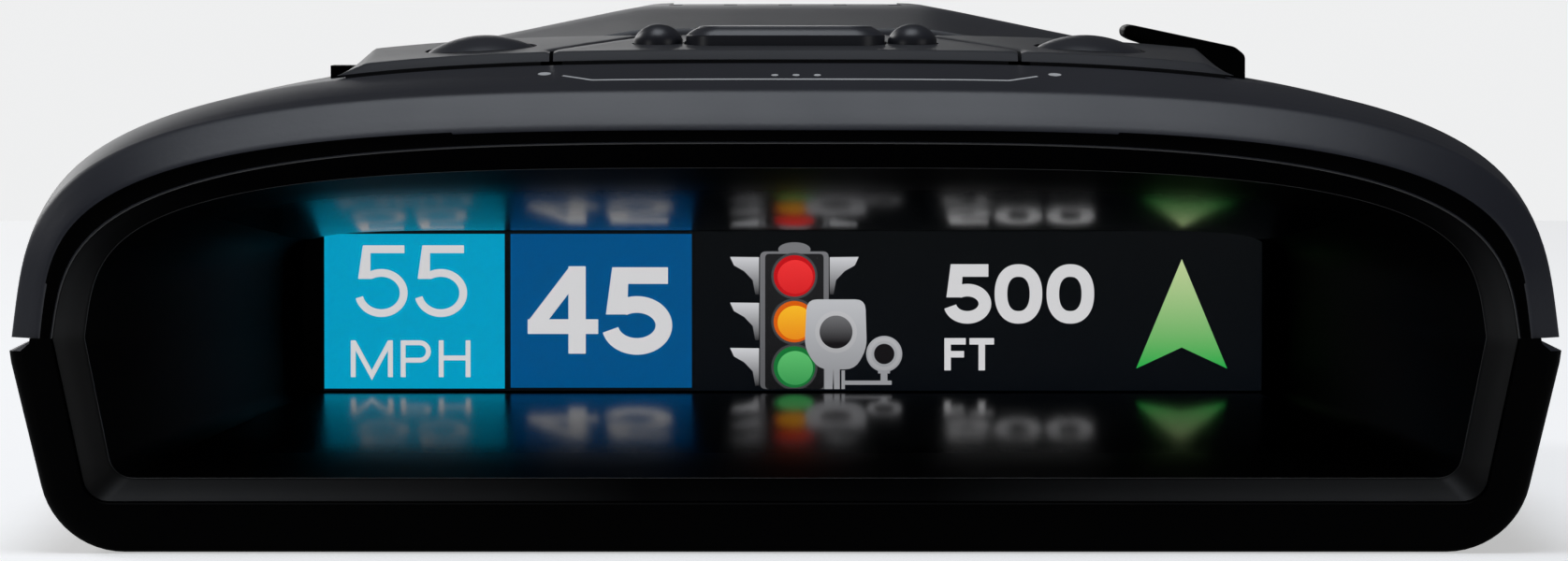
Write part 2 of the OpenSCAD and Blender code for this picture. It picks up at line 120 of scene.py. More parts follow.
def capped_faces(rows, cols):
    """A skin of rings round an axis, with a face across each end."""
    last = (rows - 1) * cols
    return grid_faces(rows, cols, wrap_cols=True) + [tuple(range(cols)), tuple(range(last, last + cols))]


def strip_faces(n):
    """A flat bar; its n left and n right points come for one side and then for the other."""
    faces = []
    for i in range(n - 1):
        faces += [(i, i + 1, n + i + 1, n + i), (2 * n + i, 3 * n + i, 3 * n + i + 1, 2 * n + i + 1),
                  (i, 2 * n + i, 2 * n + i + 1, i + 1), (n + i, n + i + 1, 3 * n + i + 1, 3 * n + i)]
    return faces + [(0, n, 3 * n, 2 * n), (n - 1, 3 * n - 1, 4 * n - 1, 2 * n - 1)]


def mix(a, b, u):
    return a + (b - a) * u


def new_mesh(name, points, faces):
    """A closed mesh from points in millimetres: welded, with its normals facing out."""
    mesh = bpy.data.meshes.new(name)
    mesh.from_pydata([(x * MM, y * MM, z * MM) for x, y, z in points], [], faces)
    bm = bmesh.new()
    bm.from_mesh(mesh)
    bmesh.ops.remove_doubles(bm, verts=bm.verts, dist=2e-6)
    bmesh.ops.recalc_face_normals(bm, faces=bm.faces)
    bm.to_mesh(mesh)
    bm.free()
    return mesh


def smooth(obj, degrees=30):
    obj.data.shade_smooth()
    obj.data.set_sharp_from_angle(angle=math.radians(degrees))


def piece(name, mesh, material, body="case", nodes=(), angle=30):
    obj = link(bpy.data.objects.new(name, mesh))
    mesh.materials.clear()
    mesh.materials.append(material)
    smooth(obj, angle)
    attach(obj, body)
    if nodes:
        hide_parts(*nodes)
    return obj


def box_points(low, high):
    xs, ys, zs = zip(low, high)
    return [(x, y, z) for x in xs for y in ys for z in zs]


BOX_FACES = [(0, 1, 3, 2), (4, 6, 7, 5), (0, 4, 5, 1), (2, 3, 7, 6), (0, 2, 6, 4), (1, 5, 7, 3)]


def tube_points(start, end, r0, r1=None, count=40):
    """Two rings of a cylinder or cone between two points."""
    r1 = r0 if r1 is None else r1
    start, end = Vector(start), Vector(end)
    axis = (end - start).normalized()
    side = axis.orthogonal().normalized()
    other = axis.cross(side)
    rings = []
    for centre, r in ((start, r0), (end, r1)):
        for i in range(count):
            a = 2 * math.pi * i / count
            rings.append(tuple(centre + side * (r * math.cos(a)) + other * (r * math.sin(a))))
    return rings


def tube_faces(count=40):
    caps = [tuple(range(count)), tuple(range(2 * count - 1, count - 1, -1))]
    return grid_faces(2, count, wrap_cols=True) + caps


class Solid:
    """Gathers closed shapes into one mesh."""

    def __init__(self):
        self.points, self.faces = [], []

    def add(self, points, faces):
        start = len(self.points)
        self.points += [tuple(p) for p in points]
        self.faces += [tuple(start + i for i in f) for f in faces]
        return self

    def box(self, low, high):
        return self.add(box_points(low, high), BOX_FACES)

    def tube(self, start, end, r0, r1=None, count=40):
        return self.add(tube_points(start, end, r0, r1, count), tube_faces(count))

    def prism(self, outline, lift):
        """A plan outline raised between two heights."""
        return self.add([(x, y, z) for z in lift for x, y in outline], capped_faces(2, len(outline)))

    def side_prism(self, outline, span):
        """An outline in the side plane (y, z) raised along X."""
        return self.add([(x, y, z) for x in span for y, z in outline], capped_faces(2, len(outline)))

    def mesh(self, name):
        return new_mesh(name, self.points, self.faces)


def boolean(obj, solid, operation="DIFFERENCE", own_overlaps=False):
    cutter = link(bpy.data.objects.new("cutter", solid.mesh("cutter")))
    mod = obj.modifiers.new("cut", "BOOLEAN")
    mod.object = cutter
    mod.operation = operation
    mod.solver = "EXACT"
    mod.use_self = own_overlaps
    depsgraph = bpy.context.evaluated_depsgraph_get()
    result = bpy.data.meshes.new_from_object(obj.evaluated_get(depsgraph))
    obj.modifiers.clear()
    old = obj.data
    obj.data = result
    result.name = obj.name
    bpy.data.meshes.remove(old)
    bpy.data.objects.remove(cutter)
    return obj


def bevelled(obj, width, segments=3, angle=30):
    mod = obj.modifiers.new("edges", "BEVEL")
    mod.width = width * MM
    mod.segments = segments
    mod.limit_method = "ANGLE"
    mod.angle_limit = math.radians(angle)
    mod.use_clamp_overlap = True
    mod.harden_normals = True
    return obj


# ---------------------------------------------------------------- materials

def linear(r, g, b):
    """Linear colour from 0-255 display values."""
    def one(v):
        v /= 255
        return v / 12.92 if v <= 0.04045 else ((v + 0.055) / 1.055) ** 2.4
    return (one(r), one(g), one(b), 1.0)


def set_inputs(tree, node, inputs):
    """Each input is given a number or colour, or the socket that feeds it."""
    for name, value in inputs.items():
        if isinstance(value, bpy.types.NodeSocket):
            tree.links.new(value, node.inputs[name])
        else:
            node.inputs[name].default_value = value


def add_node(tree, kind, inputs):
    node = tree.nodes.new("ShaderNode" + kind)
    set_inputs(tree, node, inputs)
    return node


def new_material(name):
    mat = bpy.data.materials.new(name)
    mat.use_nodes = True
    return mat, mat.node_tree, mat.node_tree.nodes["Principled BSDF"]


def object_place(tree):
    return add_node(tree, "TexCoord", {}).outputs["Object"]


def along(tree, axis):
    """A point's place along one axis of the object."""
    return add_node(tree, "SeparateXYZ", {"Vector": object_place(tree)}).outputs[axis]


def noise(tree, place, scale, detail):
    return add_node(tree, "TexNoise", {"Vector": place, "Scale": scale, "Detail": detail}).outputs["Fac"]


def colour_blend(tree, share, colours, stops=(0, 1)):
    node = add_node(tree, "ValToRGB", {"Fac": share})
    for element, colour, stop in zip(node.color_ramp.elements, colours, stops):
        element.position = stop
        element.color = colour
    return node.outputs["Color"]


def map_range(tree, value, source, target, kind="LINEAR"):
    node = add_node(tree, "MapRange", {"Value": value, "From Min": source[0], "From Max": source[1],
                                       "To Min": target[0], "To Max": target[1]})
    node.interpolation_type = kind
    return node.outputs["Result"]


def calculate(tree, operation, *values):
    node = add_node(tree, "Math", dict(enumerate(values)))
    node.operation = operation
    return node.outputs["Value"]


CLOUD_SPAN = (0.3, 0.7)
GRAIN_DEPTH = 0.00002


def plastic(name, colour, rough, specular=0.5, grain=0.0, grain_size=0.35, mottle=0.08, coat=0.0,
            coat_rough=0.1):
    """Moulded plastic: a fine surface grain, and slow changes of tone and gloss."""
    mat, tree, shader = new_material(name)
    place = object_place(tree)
    cloud = noise(tree, place, 90, 3)
    tones = [tuple(v * share for v in colour) + (1,) for share in (1 - mottle, 1 + mottle)]
    set_inputs(tree, shader, {
        "Specular IOR Level": specular,
        "Coat Weight": coat,
        "Coat Roughness": coat_rough,
        "Base Color": colour_blend(tree, cloud, tones, CLOUD_SPAN),
        "Roughness": map_range(tree, cloud, CLOUD_SPAN, (rough * 0.94, min(1, rough * 1.06))),
    })
    if grain:
        fine = noise(tree, place, 1 / (grain_size * MM), 2)
        bump = add_node(tree, "Bump", {"Strength": grain, "Distance": GRAIN_DEPTH, "Height": fine})
        set_inputs(tree, shader, {"Normal": bump.outputs["Normal"]})
    return mat


def metal(name, colour, rough, stretch=(1, 40, 40)):
    """Brushed or rolled metal: fine lines along one direction."""
    mat, tree, shader = new_material(name)
    scale = add_node(tree, "Mapping", {"Vector": object_place(tree), "Scale": stretch})
    lines = noise(tree, scale.outputs["Vector"], 120, 4)
    tones = [tuple(min(1, v * share) for v in colour) + (1,) for share in (0.8, 1.1)]
    set_inputs(tree, shader, {
        "Metallic": 1.0,
        "Base Color": colour_blend(tree, lines, tones),
        "Roughness": map_range(tree, lines, (0, 1), (rough * 0.8, rough * 1.25)),
    })
    return mat


def lit(name, top, bottom=None, z_range=None):
    """A lit area of the display, with an optional vertical blend between two colours."""
    mat, tree, shader = new_material(name)
    low, high = z_range or (DISPLAY_LOW, DISPLAY_HIGH)
    height = map_range(tree, along(tree, "Z"), (low * MM, high * MM), (0, 1))
    set_inputs(tree, shader, {
        "Base Color": (0.004, 0.004, 0.005, 1),
        "Roughness": 0.4,
        "Specular IOR Level": 0.1,
        "Emission Strength": 1.0,
        "Emission Color": colour_blend(tree, height, (bottom or top, top)),
    })
    return mat


def clear_glass(name):
    mat, tree, shader = new_material(name)
    set_inputs(tree, shader, {
        "Base Color": (0.97, 0.98, 1.0, 1),
        "Roughness": 0.02,
        "Transmission Weight": 1.0,
        "IOR": 1.02,
    })
    return mat


def hood_gloss(name, near, far, fade):
    """Gloss that changes along the tunnel: near the display and far from it, as (roughness, specular)."""
    mat = plastic(name, (0.0006, 0.0006, 0.0008), *near, grain=0.04, grain_size=1.2)
    tree = mat.node_tree
    depth = along(tree, "Y")
    span = [y * MM for y in fade]
    for k, socket in enumerate(("Roughness", "Specular IOR Level")):
        gloss = map_range(tree, depth, span, (far[k], near[k]), "SMOOTHSTEP")
        set_inputs(tree, tree.nodes["Principled BSDF"], {socket: gloss})
    return mat


def bezel_gloss(name, base, specular):
    """Dull under the brow and at the middle of the sill, with more sheen towards the lower corners."""
    mat = plastic(name, base, 0.45, specular, grain=0.2)
    tree = mat.node_tree
    height = along(tree, "Z")
    across = map_range(tree, calculate(tree, "ABSOLUTE", along(tree, "X")), (8 * MM, 34 * MM), (0.05, 1))
    down = map_range(tree, height, (13 * MM, 20.5 * MM), (specular, 0))
    sill = map_range(tree, height, (3.2 * MM, 5 * MM), (0.5, 1))
    sheen = calculate(tree, "MULTIPLY", calculate(tree, "MULTIPLY", across, down), sill)
    set_inputs(tree, tree.nodes["Principled BSDF"], {"Specular IOR Level": sheen})
    return mat


CASE_TONE = (0.024, 0.0258, 0.035)
M = {
    "case": plastic("case_plastic", CASE_TONE, 0.4, 0.42, grain=0.25),
    "tub": plastic("lower_plastic", (0.0006, 0.0006, 0.0007), 0.5, 0.03, grain=0.2),
    # Near-black: the display panel's own colour, and painted shade on the upper shell's front face.
    "ring": plastic("panel_black_and_front_shade", (0.0005, 0.0005, 0.0006), 0.5, 0.02, grain=0.1),
    "bezel": bezel_gloss("bezel_plastic", (0.0014, 0.0014, 0.0016), 0.45),
    # The lip and mouth edge beads are real fine edges, made in a lighter plastic than the bezel: a painted
    # highlight along them.
    "line": plastic("lip_painted_highlight", (0.07, 0.07, 0.07), 0.35, 0.5),
    "mouth_highlight": plastic("mouth_painted_highlight", (0.03, 0.03, 0.03), 0.35, 0.5),
    "hood": hood_gloss("hood_gloss", (0.19, 0.15), (0.4, 0.04), (MOUTH_Y + 1.5, DISPLAY_Y - 17)),
    "hood_side": hood_gloss("hood_side", (0.5, 0.0), (0.36, 0.1), (MOUTH_Y + 1, DISPLAY_Y - 5)),
    "keypad": plastic("keypad_plastic", (0.042, 0.0435, 0.05), 0.42, 0.26, grain=0.2),
    "button": plastic("button_plastic", (0.03, 0.0315, 0.04), 0.36, 0.42, grain=0.15),
    "trim": plastic("black_trim", (0.0008, 0.0008, 0.001), 0.45, 0.04, grain=0.1),
    "lens": plastic("infrared_lens", (0.012, 0.002, 0.003), 0.12, 0.5, coat=0.5, coat_rough=0.06),
    "dark": plastic("dark_plastic", (0.02, 0.02, 0.022), 0.6, 0.3, grain=0.3),
    "bracket": plastic("bracket_plastic", (0.04, 0.042, 0.046), 0.6, 0.3, grain=0.3),
    "ribbon": plastic("ribbon_film", (0.35, 0.16, 0.04), 0.35),
    "board": plastic("solder_mask", (0.012, 0.09, 0.035), 0.32, grain=0.3, grain_size=0.8),
    "ceramic": plastic("ceramic", (0.62, 0.58, 0.48), 0.55, grain=0.3),
    "foam": plastic("foam", (0.012, 0.012, 0.012), 0.9, 0.1, grain=0.8, grain_size=0.5),
    "print": plastic("white_print", (0.72, 0.73, 0.74), 0.55, 0.3),
    "steel": metal("steel", (0.56, 0.57, 0.58), 0.3),
    "plate": metal("plate_steel", (0.3, 0.3, 0.31), 0.5),
    "tin": metal("tinned", (0.62, 0.63, 0.65), 0.35, (30, 30, 30)),
    "black_steel": metal("black_steel", (0.09, 0.09, 0.095), 0.4, (30, 30, 30)),
    "gold": metal("contact_gold", (0.75, 0.55, 0.22), 0.25, (30, 30, 30)),
    "glass": clear_glass("display_glass"),
}


# ---------------------------------------------------------------- the case's outlines

ARCH_POINTS = 151
BODY_SHAPE = (3.07, 3.77, 0.089)


def arch_at(half, top, side_exp, crown_exp, lean, angles, base=SEAM):
    """An arch on base: two exponents round its sides and crown, and lean draws it in as it rises."""
    rise = (top - base) * np.abs(np.sin(angles)) ** (2 / crown_exp)
    x = np.sign(np.cos(angles)) * (half - lean * rise) * np.abs(np.cos(angles)) ** (2 / side_exp)
    return np.column_stack([x, base + rise])


def even_angles(count):
    """Angles that space the points of the body's arch evenly along it."""
    w = np.linspace(0, 1, 6001)
    half = math.pi / 2 * w ** 2.5 / (w ** 2.5 + (1 - w) ** 2.5)
    points = arch_at(HALF_W, BODY_TOP, *BODY_SHAPE, half)
    run = np.concatenate([[0], np.cumsum(np.hypot(*np.diff(points, axis=0).T))])
    right = np.interp(np.linspace(0, run[-1], (count + 1) // 2), run, half)
    return np.concatenate([right, math.pi - right[-2::-1]])


ANGLES = even_angles(ARCH_POINTS)

# Front outlines of the upper shell, from the lip outwards: lip, chamfer's inner edge, its outer edge, body
UPPER_OUTLINES = [
    arch_at(LIP_HALF, LIP_TOP, *LIP_SHAPE, ANGLES),
    arch_at(41.8, 23.79, 3.4, 3.75, 0.105, ANGLES),
    arch_at(43.43, RIM_TOP, 3.35, 3.9, 0.124, ANGLES),
    arch_at(HALF_W, BODY_TOP, *BODY_SHAPE, ANGLES),
]


def between(outlines, o):
    k = min(int(o), len(outlines) - 2)
    return outlines[k] * (1 - (o - k)) + outlines[k + 1] * (o - k)


def ease(s):
    s = min(1.0, max(0.0, s))
    return s * s * (3 - 2 * s)


def plan_half(y):
    return HALF_W - NARROWING * ease((y - NARROW_FROM) / NARROW_OVER)


def soft_profile(y, knots, soft):
    """A bent line with its corners rounded over a length of 2 * soft."""
    ys, zs = zip(*knots)
    return float(np.mean(np.interp(np.linspace(y - soft, y + soft, 15), ys, zs)))


TOP_KNOTS = [(FRONT + SHOULDER_DEPTH, BODY_TOP), (-20, BODY_TOP), (57, 21.5), (64.5, 19.2), (BACK, 15)]
FLOOR_KNOTS = [(FRONT, 0), (58, 0), (66, 3), (BACK, 7)]

# Raised spine: place along the case, top, half width, then half width and height at the foot of its sides
SPINE_FRONT = FRONT + 22.6
SPINE_KNOTS = [
    (SPINE_FRONT, 29.1, 8.5, 20, 26.7),
    (FRONT + 32, CREST - 0.02, 8.5, 25, 26.95),
    (6, CREST - 0.02, 8.5, 25, 25.7),
    (57, 21.6, 6.5, 20, 20.6),
]
SPINE_END, SPINE_FADE = 57, 7
SPINE_CREST, SPINE_BLEND = 0.8, 0.9


def spine_height(x, y):
    ys, tops, halves, skirts, feet = zip(*SPINE_KNOTS)
    top = float(np.interp(y, ys, tops))
    if y > SPINE_FRONT + 2:
        top = soft_profile(y, list(zip(ys, tops)), 1.0)
    half, skirt, foot = (float(np.interp(y, ys, v)) for v in (halves, skirts, feet))
    over = np.abs(x) - half
    over = 0.5 * (over + np.sqrt(over ** 2 + SPINE_CREST ** 2)) - 0.05
    return top - over * (top - foot) / (skirt - half) - 1.5 * np.maximum(0, np.abs(x) - skirt)


def body_ring(y, half, top, inset=0.0):
    """Section of the upper shell at y, with the spine blended in."""
    ring = UPPER_OUTLINES[3].copy()
    ring[:, 0] *= (half - inset) / HALF_W
    ring[:, 1] = SEAM + (ring[:, 1] - SEAM) * (top - inset - SEAM) / (BODY_TOP - SEAM)
    share = ease((y - SPINE_FRONT + 0.3) / 0.7) * (1 - ease((y - SPINE_END) / SPINE_FADE + 1))
    if share > 0:
        spine = spine_height(ring[:, 0], y) - inset
        gap = spine - ring[:, 1]
        root = np.sqrt(gap ** 2 + SPINE_BLEND ** 2)
        over = np.max(root - gap, where=gap >= gap.max(), initial=0)
        ring[:, 1] += share * (0.5 * (gap + root) - 0.25 * (1 + gap / root) * over)
    return ring


def nose_point(t, inset=0.0):
    """Half width and place along the case at angle t of the rounded nose."""
    half = (plan_half(NOSE_Y) - inset) * math.cos(t) ** NOSE_POWER
    return max(half, 0.0), NOSE_Y + (BACK - inset - NOSE_Y) * math.sin(t) ** NOSE_POWER


NOSE_ANGLES = [math.pi / 2 * i / 30 for i in range(31)]
STATION_STEP, TUB_STEP = 1.6, 2.5
BODY_FRONT = FRONT + SHOULDER_DEPTH
BODY_YS = sorted(set(
    [round(BODY_FRONT + STATION_STEP * i, 3) for i in range(int((NOSE_Y - BODY_FRONT) / STATION_STEP))]
    + [SPINE_FRONT + d for d in (-0.35, -0.2, -0.05, 0.1, 0.25, 0.45)]))


QUARTERS = (0.25, 0.5, 0.75, 1)


def shoulder(s):
    """Place among the outlines at a share of the way across the shoulder."""
    return 2 + s + 0.1 * math.sin(math.pi * s)


def lip_profile():
    """The upper shell's front edge as (outline, depth): lip, front ring, chamfer and shoulder."""
    rows = [(0, 1.8), (0, 0.5), (0, 0.14), (0.06, 0.04), (0.2, 0), (0.7, 0)]
    rows += [(0.7 + 0.3 * s * (2 - s) + 0.13 * s * s, 0.27 * s * s) for s in QUARTERS]
    rows += [(1.4, 0.8), (1.65, 1.3), (1.88, 1.76)]
    rows += [(1.88 + 0.12 * s * (2 - s) + 0.085 * s * s, 1.76 + 0.24 * s * (2 - s) + 0.5 * s * s)
             for s in QUARTERS]
    first = rows[-1][1] + 0.3
    across = [(shoulder(i / 12), mix(RIM_DEPTH, SHOULDER_DEPTH, i / 12)) for i in range(2, 13)]
    return rows + [(o, depth) for o, depth in across if depth > first]


def shell_mesh(name, stations):
    """Closed wall between outer and inner rings; the last station has closed up to a line."""
    count = len(stations[0][0])
    points = []
    for outer, inner, y_out, y_in in stations:
        points += [(x, y_out, z) for x, z in outer]
    half = len(points)
    for outer, inner, y_out, y_in in stations:
        points += [(x, y_in, z) for x, z in inner]
    rows = len(stations)
    faces = grid_faces(rows, count) + grid_faces(rows, count, start=half)
    for r in range(rows - 1):
        for c in (0, count - 1):
            a, b = r * count + c, (r + 1) * count + c
            faces.append((a, b, half + b, half + a))
    for c in range(count - 1):
        faces.append((c, c + 1, half + c + 1, half + c))
    return new_mesh(name, points, faces)


def upper_stations():
    stations = []
    for o, depth in lip_profile():
        y_in = FRONT + max(WALL, depth)
        top_in = np.interp(y_in, [FRONT + RIM_DEPTH, BODY_FRONT], [RIM_TOP, BODY_TOP])
        inner = body_ring(FRONT, HALF_W, top_in, WALL)
        stations.append((between(UPPER_OUTLINES, o), inner, FRONT + depth, y_in))
    for y in BODY_YS[1:]:
        half, top = plan_half(y), soft_profile(y, TOP_KNOTS, 5)
        stations.append((body_ring(y, half, top), body_ring(y, half, top, WALL), y, y))
    for t in NOSE_ANGLES:
        (half, y), (half_in, y_in) = nose_point(t), nose_point(t, WALL)
        top, top_in = soft_profile(y, TOP_KNOTS, 2), soft_profile(y_in, TOP_KNOTS, 2)
        stations.append((body_ring(y, half, top), body_ring(y_in, half_in, top_in - WALL * 0.9), y, y_in))
    return stations


def height_at(ring, x):
    """Height of an arch at a place across it."""
    order = np.argsort(ring[:, 0])
    return float(np.interp(x, ring[order, 0], ring[order, 1]))


def surface_z(x, y):
    """Height of the case's top at a point in front of the keypad or under it."""
    ring = UPPER_OUTLINES[3]
    if y < BODY_FRONT:
        share = (y - FRONT - RIM_DEPTH) / (SHOULDER_DEPTH - RIM_DEPTH)
        ring = between(UPPER_OUTLINES, shoulder(share))
    return height_at(ring, x)


# ---------------------------------------------------------------- upper shell and its parts

LENS_HALF, LENS_LOW, LENS_HIGH = 24.0, 13.4, 17.8
LENS_FRONT, LENS_BACK = 58.5, 75
LENS_GAP = 0.12
SLOT_X = [-6.6, -3.3, 0, 3.3, 6.6]
SLOT_Y = [-34, -27]
SLOT_W, SLOT_LENGTH = 0.8, 4.2
# Short slit on the right shoulder, by the keypad's end
SHOULDER_SLIT = (26.6, FRONT + 12, 22), (31.6, FRONT + 12.6, 30)
PLATE_GAP = 0.15
ABOVE = CREST + 2.5


def lens_block(gap):
    return Solid().box((-LENS_HALF + gap, LENS_FRONT, LENS_LOW + gap),
                       (LENS_HALF - gap, LENS_BACK, LENS_HIGH - gap))


def make_upper_shell():
    obj = piece("upper_shell_body", shell_mesh("upper_shell_body", upper_stations()), M["case"],
                nodes=["upper_shell"])
    cuts = lens_block(0)
    cuts.box((-KEYPAD_HALF + 0.3, KEYS_FRONT + 0.35, 20), (KEYPAD_HALF - 0.3, KEYS_BACK - 0.3, 29))
    cuts.box((PLATE_LO[0] - PLATE_GAP, PLATE_LO[1] - PLATE_GAP, PLATE_LO[2] - 0.02),
             (PLATE_HI[0] + PLATE_GAP, PLATE_HI[1] + PLATE_GAP, ABOVE))
    for x in SLOT_X:
        for y in SLOT_Y:
            cuts.box((x - SLOT_W / 2, y, 26), (x + SLOT_W / 2, y + SLOT_LENGTH, ABOVE))
    cuts.box(*SHOULDER_SLIT)
    boolean(obj, cuts)
    smooth(obj, 28)
    # Faces facing straight forward take the near-black ring plastic: partly a black front face, partly
    # painted shade on the shell's forward-facing faces.
    obj.data.materials.append(M["ring"])
    for face in obj.data.polygons:
        if face.normal.y < -0.9 and face.center.y / MM < FRONT + 0.05:
            face.material_index = 1
    return obj


def make_lens():
    obj = piece("nose_window", shell_mesh("nose_window", upper_stations()), M["lens"],
                nodes=["nose_lens"])
    boolean(obj, lens_block(LENS_GAP), "INTERSECT")
    smooth(obj, 28)
    return obj


# ---------------------------------------------------------------- lower shell

def tub_side(half, top, floor, slope, radius, steps):
    """Points below the top of a leaning side, round the bottom corner, and to the middle of the floor."""
    on_side, on_corner, on_floor = steps
    centre = half - math.tan(slope) * (top - floor - radius) - radius / math.cos(slope)
    end_x, end_z = centre + radius * math.cos(slope), floor + radius - radius * math.sin(slope)
    points = [(mix(half, end_x, i / on_side), mix(top, end_z, i / on_side)) for i in range(1, on_side + 1)]
    for i in range(1, on_corner + 1):
        t = mix(slope, math.pi / 2, i / on_corner)
        points.append((centre + radius * math.cos(t), floor + radius - radius * math.sin(t)))
    return points + [(centre * (1 - i / on_floor), floor) for i in range(1, on_floor + 1)]


def tub_outline(half, top_z, floor, slope, radius, notch=0.0):
    """Right half of a tub section from the seam to the middle of the floor, then its mirror image."""
    edge = [(half - notch, SEAM), (half - notch, SEAM - 0.25), (half - 0.06, top_z + 0.02)]
    if not notch:
        edge = [(half - math.tan(slope) * d, SEAM - d) for d in (0, 0.25, NOTCH_DROP - 0.05)]
    right = edge + tub_side(half, top_z, floor, slope, radius, (12, 12, 18))
    return np.array(right + [(-x, z) for x, z in right[-2::-1]])


TUB = tub_outline(HALF_W, SEAM - NOTCH_DROP, 0, SIDE_SLOPE, 4.8, NOTCH_DEPTH)
TUB_IN = tub_outline(HALF_W - WALL - 0.1, SEAM - NOTCH_DROP, WALL, SIDE_SLOPE, 3.9, 0)
TUB_EDGE = tub_outline(HALF_W - 0.9, SEAM - NOTCH_DROP, 0.9, SIDE_SLOPE, 3.9, NOTCH_DEPTH - 0.9)
TUB_LIP = tub_outline(LIP_HALF, SEAM, LIP_FLOOR, math.radians(LIP_SLOPE), LIP_RADIUS)


def tub_ring(outline, half, floor, inset=0.0):
    ring = outline.copy()
    ring[:, 0] *= max(half, 0) / (HALF_W - inset)
    ring[:, 1] = SEAM - (SEAM - ring[:, 1]) * (SEAM - floor) / SEAM
    return ring


def lower_stations():
    stations = []
    rows = [(0, 1.8), (0, 0.14), (0.05, 0.04), (0.15, 0), (0.6, 0), (1, 0)]
    rows += [(1 + math.sin(a), 0.9 * (1 - math.cos(a))) for a in (math.pi / 2 * i / 6 for i in range(1, 7))]
    rows += [(2, d) for d in (1.5, 2.5, 4, 6)]
    for o, depth in rows:
        y_in = FRONT + max(WALL, depth)
        stations.append((between([TUB_LIP, TUB_EDGE, TUB], o), TUB_IN, FRONT + depth, y_in))
    for y in [BODY_FRONT + TUB_STEP * i for i in range(int((NOSE_Y - BODY_FRONT) / TUB_STEP))]:
        half, floor = plan_half(y), soft_profile(y, FLOOR_KNOTS, 2)
        stations.append((tub_ring(TUB, half, floor), tub_ring(TUB_IN, half - WALL, floor, WALL), y, y))
    for t in NOSE_ANGLES:
        (half, y), (half_in, y_in) = nose_point(t), nose_point(t, WALL)
        floor, floor_in = soft_profile(y, FLOOR_KNOTS, 2), soft_profile(y_in, FLOOR_KNOTS, 2)
        stations.append((tub_ring(TUB, half, floor), tub_ring(TUB_IN, half_in, floor_in, WALL), y, y_in))
    return stations


POWER_LO, POWER_HI = mm_box("power_jack")
PHONE_LO, PHONE_HI = mm_box("earphone_jack")
USB_LO, USB_HI = mm_box("usb_port")
PORT_Y = (POWER_LO[1] + POWER_HI[1]) / 2
PHONE_Y = (PHONE_LO[1] + PHONE_HI[1]) / 2
PORT_Z = (USB_LO[2] + USB_HI[2]) / 2
POWER_W, POWER_H = 9.6, 6.4
USB_W, USB_H = 9.3, 3.5
PHONE_R = 3.0
SCREW_SINK, SCREW_R = 1.2, 2.5
SCREW_PLACES = [(s * x, y) for x, y in ((35, -36), (30, 46)) for s in (-1, 1)]


def rounded_rect(cx, cy, half_x, half_y, radius, steps=8):
    """Plan outline of a rectangle with rounded corners, counter-clockwise."""
    points = []
    for sx, sy, start in ((1, 1, 0), (-1, 1, 90), (-1, -1, 180), (1, -1, 270)):
        for i in range(steps + 1):
            a = math.radians(start + 90 * i / steps)
            points.append((cx + sx * (half_x - radius) + radius * math.cos(a),
                           cy + sy * (half_y - radius) + radius * math.sin(a)))
    return points


def make_lower_shell():
    obj = piece("lower_shell_body", shell_mesh("lower_shell_body", lower_stations()), M["tub"],
                nodes=["lower_shell"])
    cuts = Solid()
    inside, outside = HALF_W - 7.5, HALF_W + 6.5
    cuts.side_prism(rounded_rect(PORT_Y, PORT_Z, POWER_W / 2, POWER_H / 2, 0.5), (-outside, -inside))
    cuts.side_prism(rounded_rect(PORT_Y, PORT_Z, USB_W / 2, USB_H / 2, 1.7), (inside, outside))
    cuts.tube((-outside, PHONE_Y, PORT_Z), (-inside, PHONE_Y, PORT_Z), PHONE_R, count=56)
    for x, y in SCREW_PLACES:
        cuts.tube((x, y, -3), (x, y, SCREW_SINK), SCREW_R)
    boolean(obj, cuts)
    smooth(obj, 28)
    # The notch's upward faces take the lighter case plastic: a painted highlight where light from above
    # falls on the lower lip.
    obj.data.materials.append(M["case"])
    for face in obj.data.polygons:
        if face.normal.z > 0.3 and SEAM - NOTCH_DROP - 0.1 < face.center.z / MM < SEAM - 0.02:
            face.material_index = 1
    return obj


# ---------------------------------------------------------------- bezel, hood and lip edge

def opening_ring(half, top, floor, z0, shape, slope, radius):
    """Closed outline: an arch above z0 and a tub below it."""
    upper = [(float(x), float(z)) for x, z in arch_at(half, top, *shape, ANGLES, z0)]
    right = tub_side(half, z0, floor, math.radians(slope), radius, (12, 10, 24))
    left = [(-x, z) for x, z in right]
    return upper + left[:-1] + right[::-1]


MOUTH_HALF, MOUTH_TOP, MOUTH_FLOOR = 39.3, 21.5, 4.1
MOUTH_SHAPE = (3.48, 3.77, 0.131)
MOUTH_SLOPE, MOUTH_RADIUS = 11.3, 1.4
# Nearly rectangular outline round the display: shape, slope and corner radius
DISPLAY_SHAPE = (14, 14, 0)
DISPLAY_SLOPE, DISPLAY_RADIUS = 0.5, 0.6


def mouth_ring(grow=0.0):
    return opening_ring(MOUTH_HALF + grow, MOUTH_TOP + grow, MOUTH_FLOOR - grow, SEAM, MOUTH_SHAPE,
                        MOUTH_SLOPE, MOUTH_RADIUS)


def lip_ring(inset):
    return opening_ring(LIP_HALF - inset, LIP_TOP - inset, LIP_FLOOR + inset, SEAM, LIP_SHAPE,
                        LIP_SLOPE, LIP_RADIUS)


def ring_blend(a, b, s):
    return [(mix(p[0], q[0], s), mix(p[1], q[1], s)) for p, q in zip(a, b)]


def ring_loft(name, rings):
    """Closed loft: each ring is (outline, y), and the last one joins the first."""
    count = len(rings[0][0])
    points = [(x, y, z) for outline, y in rings for x, z in outline]
    return new_mesh(name, points, grid_faces(len(rings), count, wrap_rows=True, wrap_cols=True))


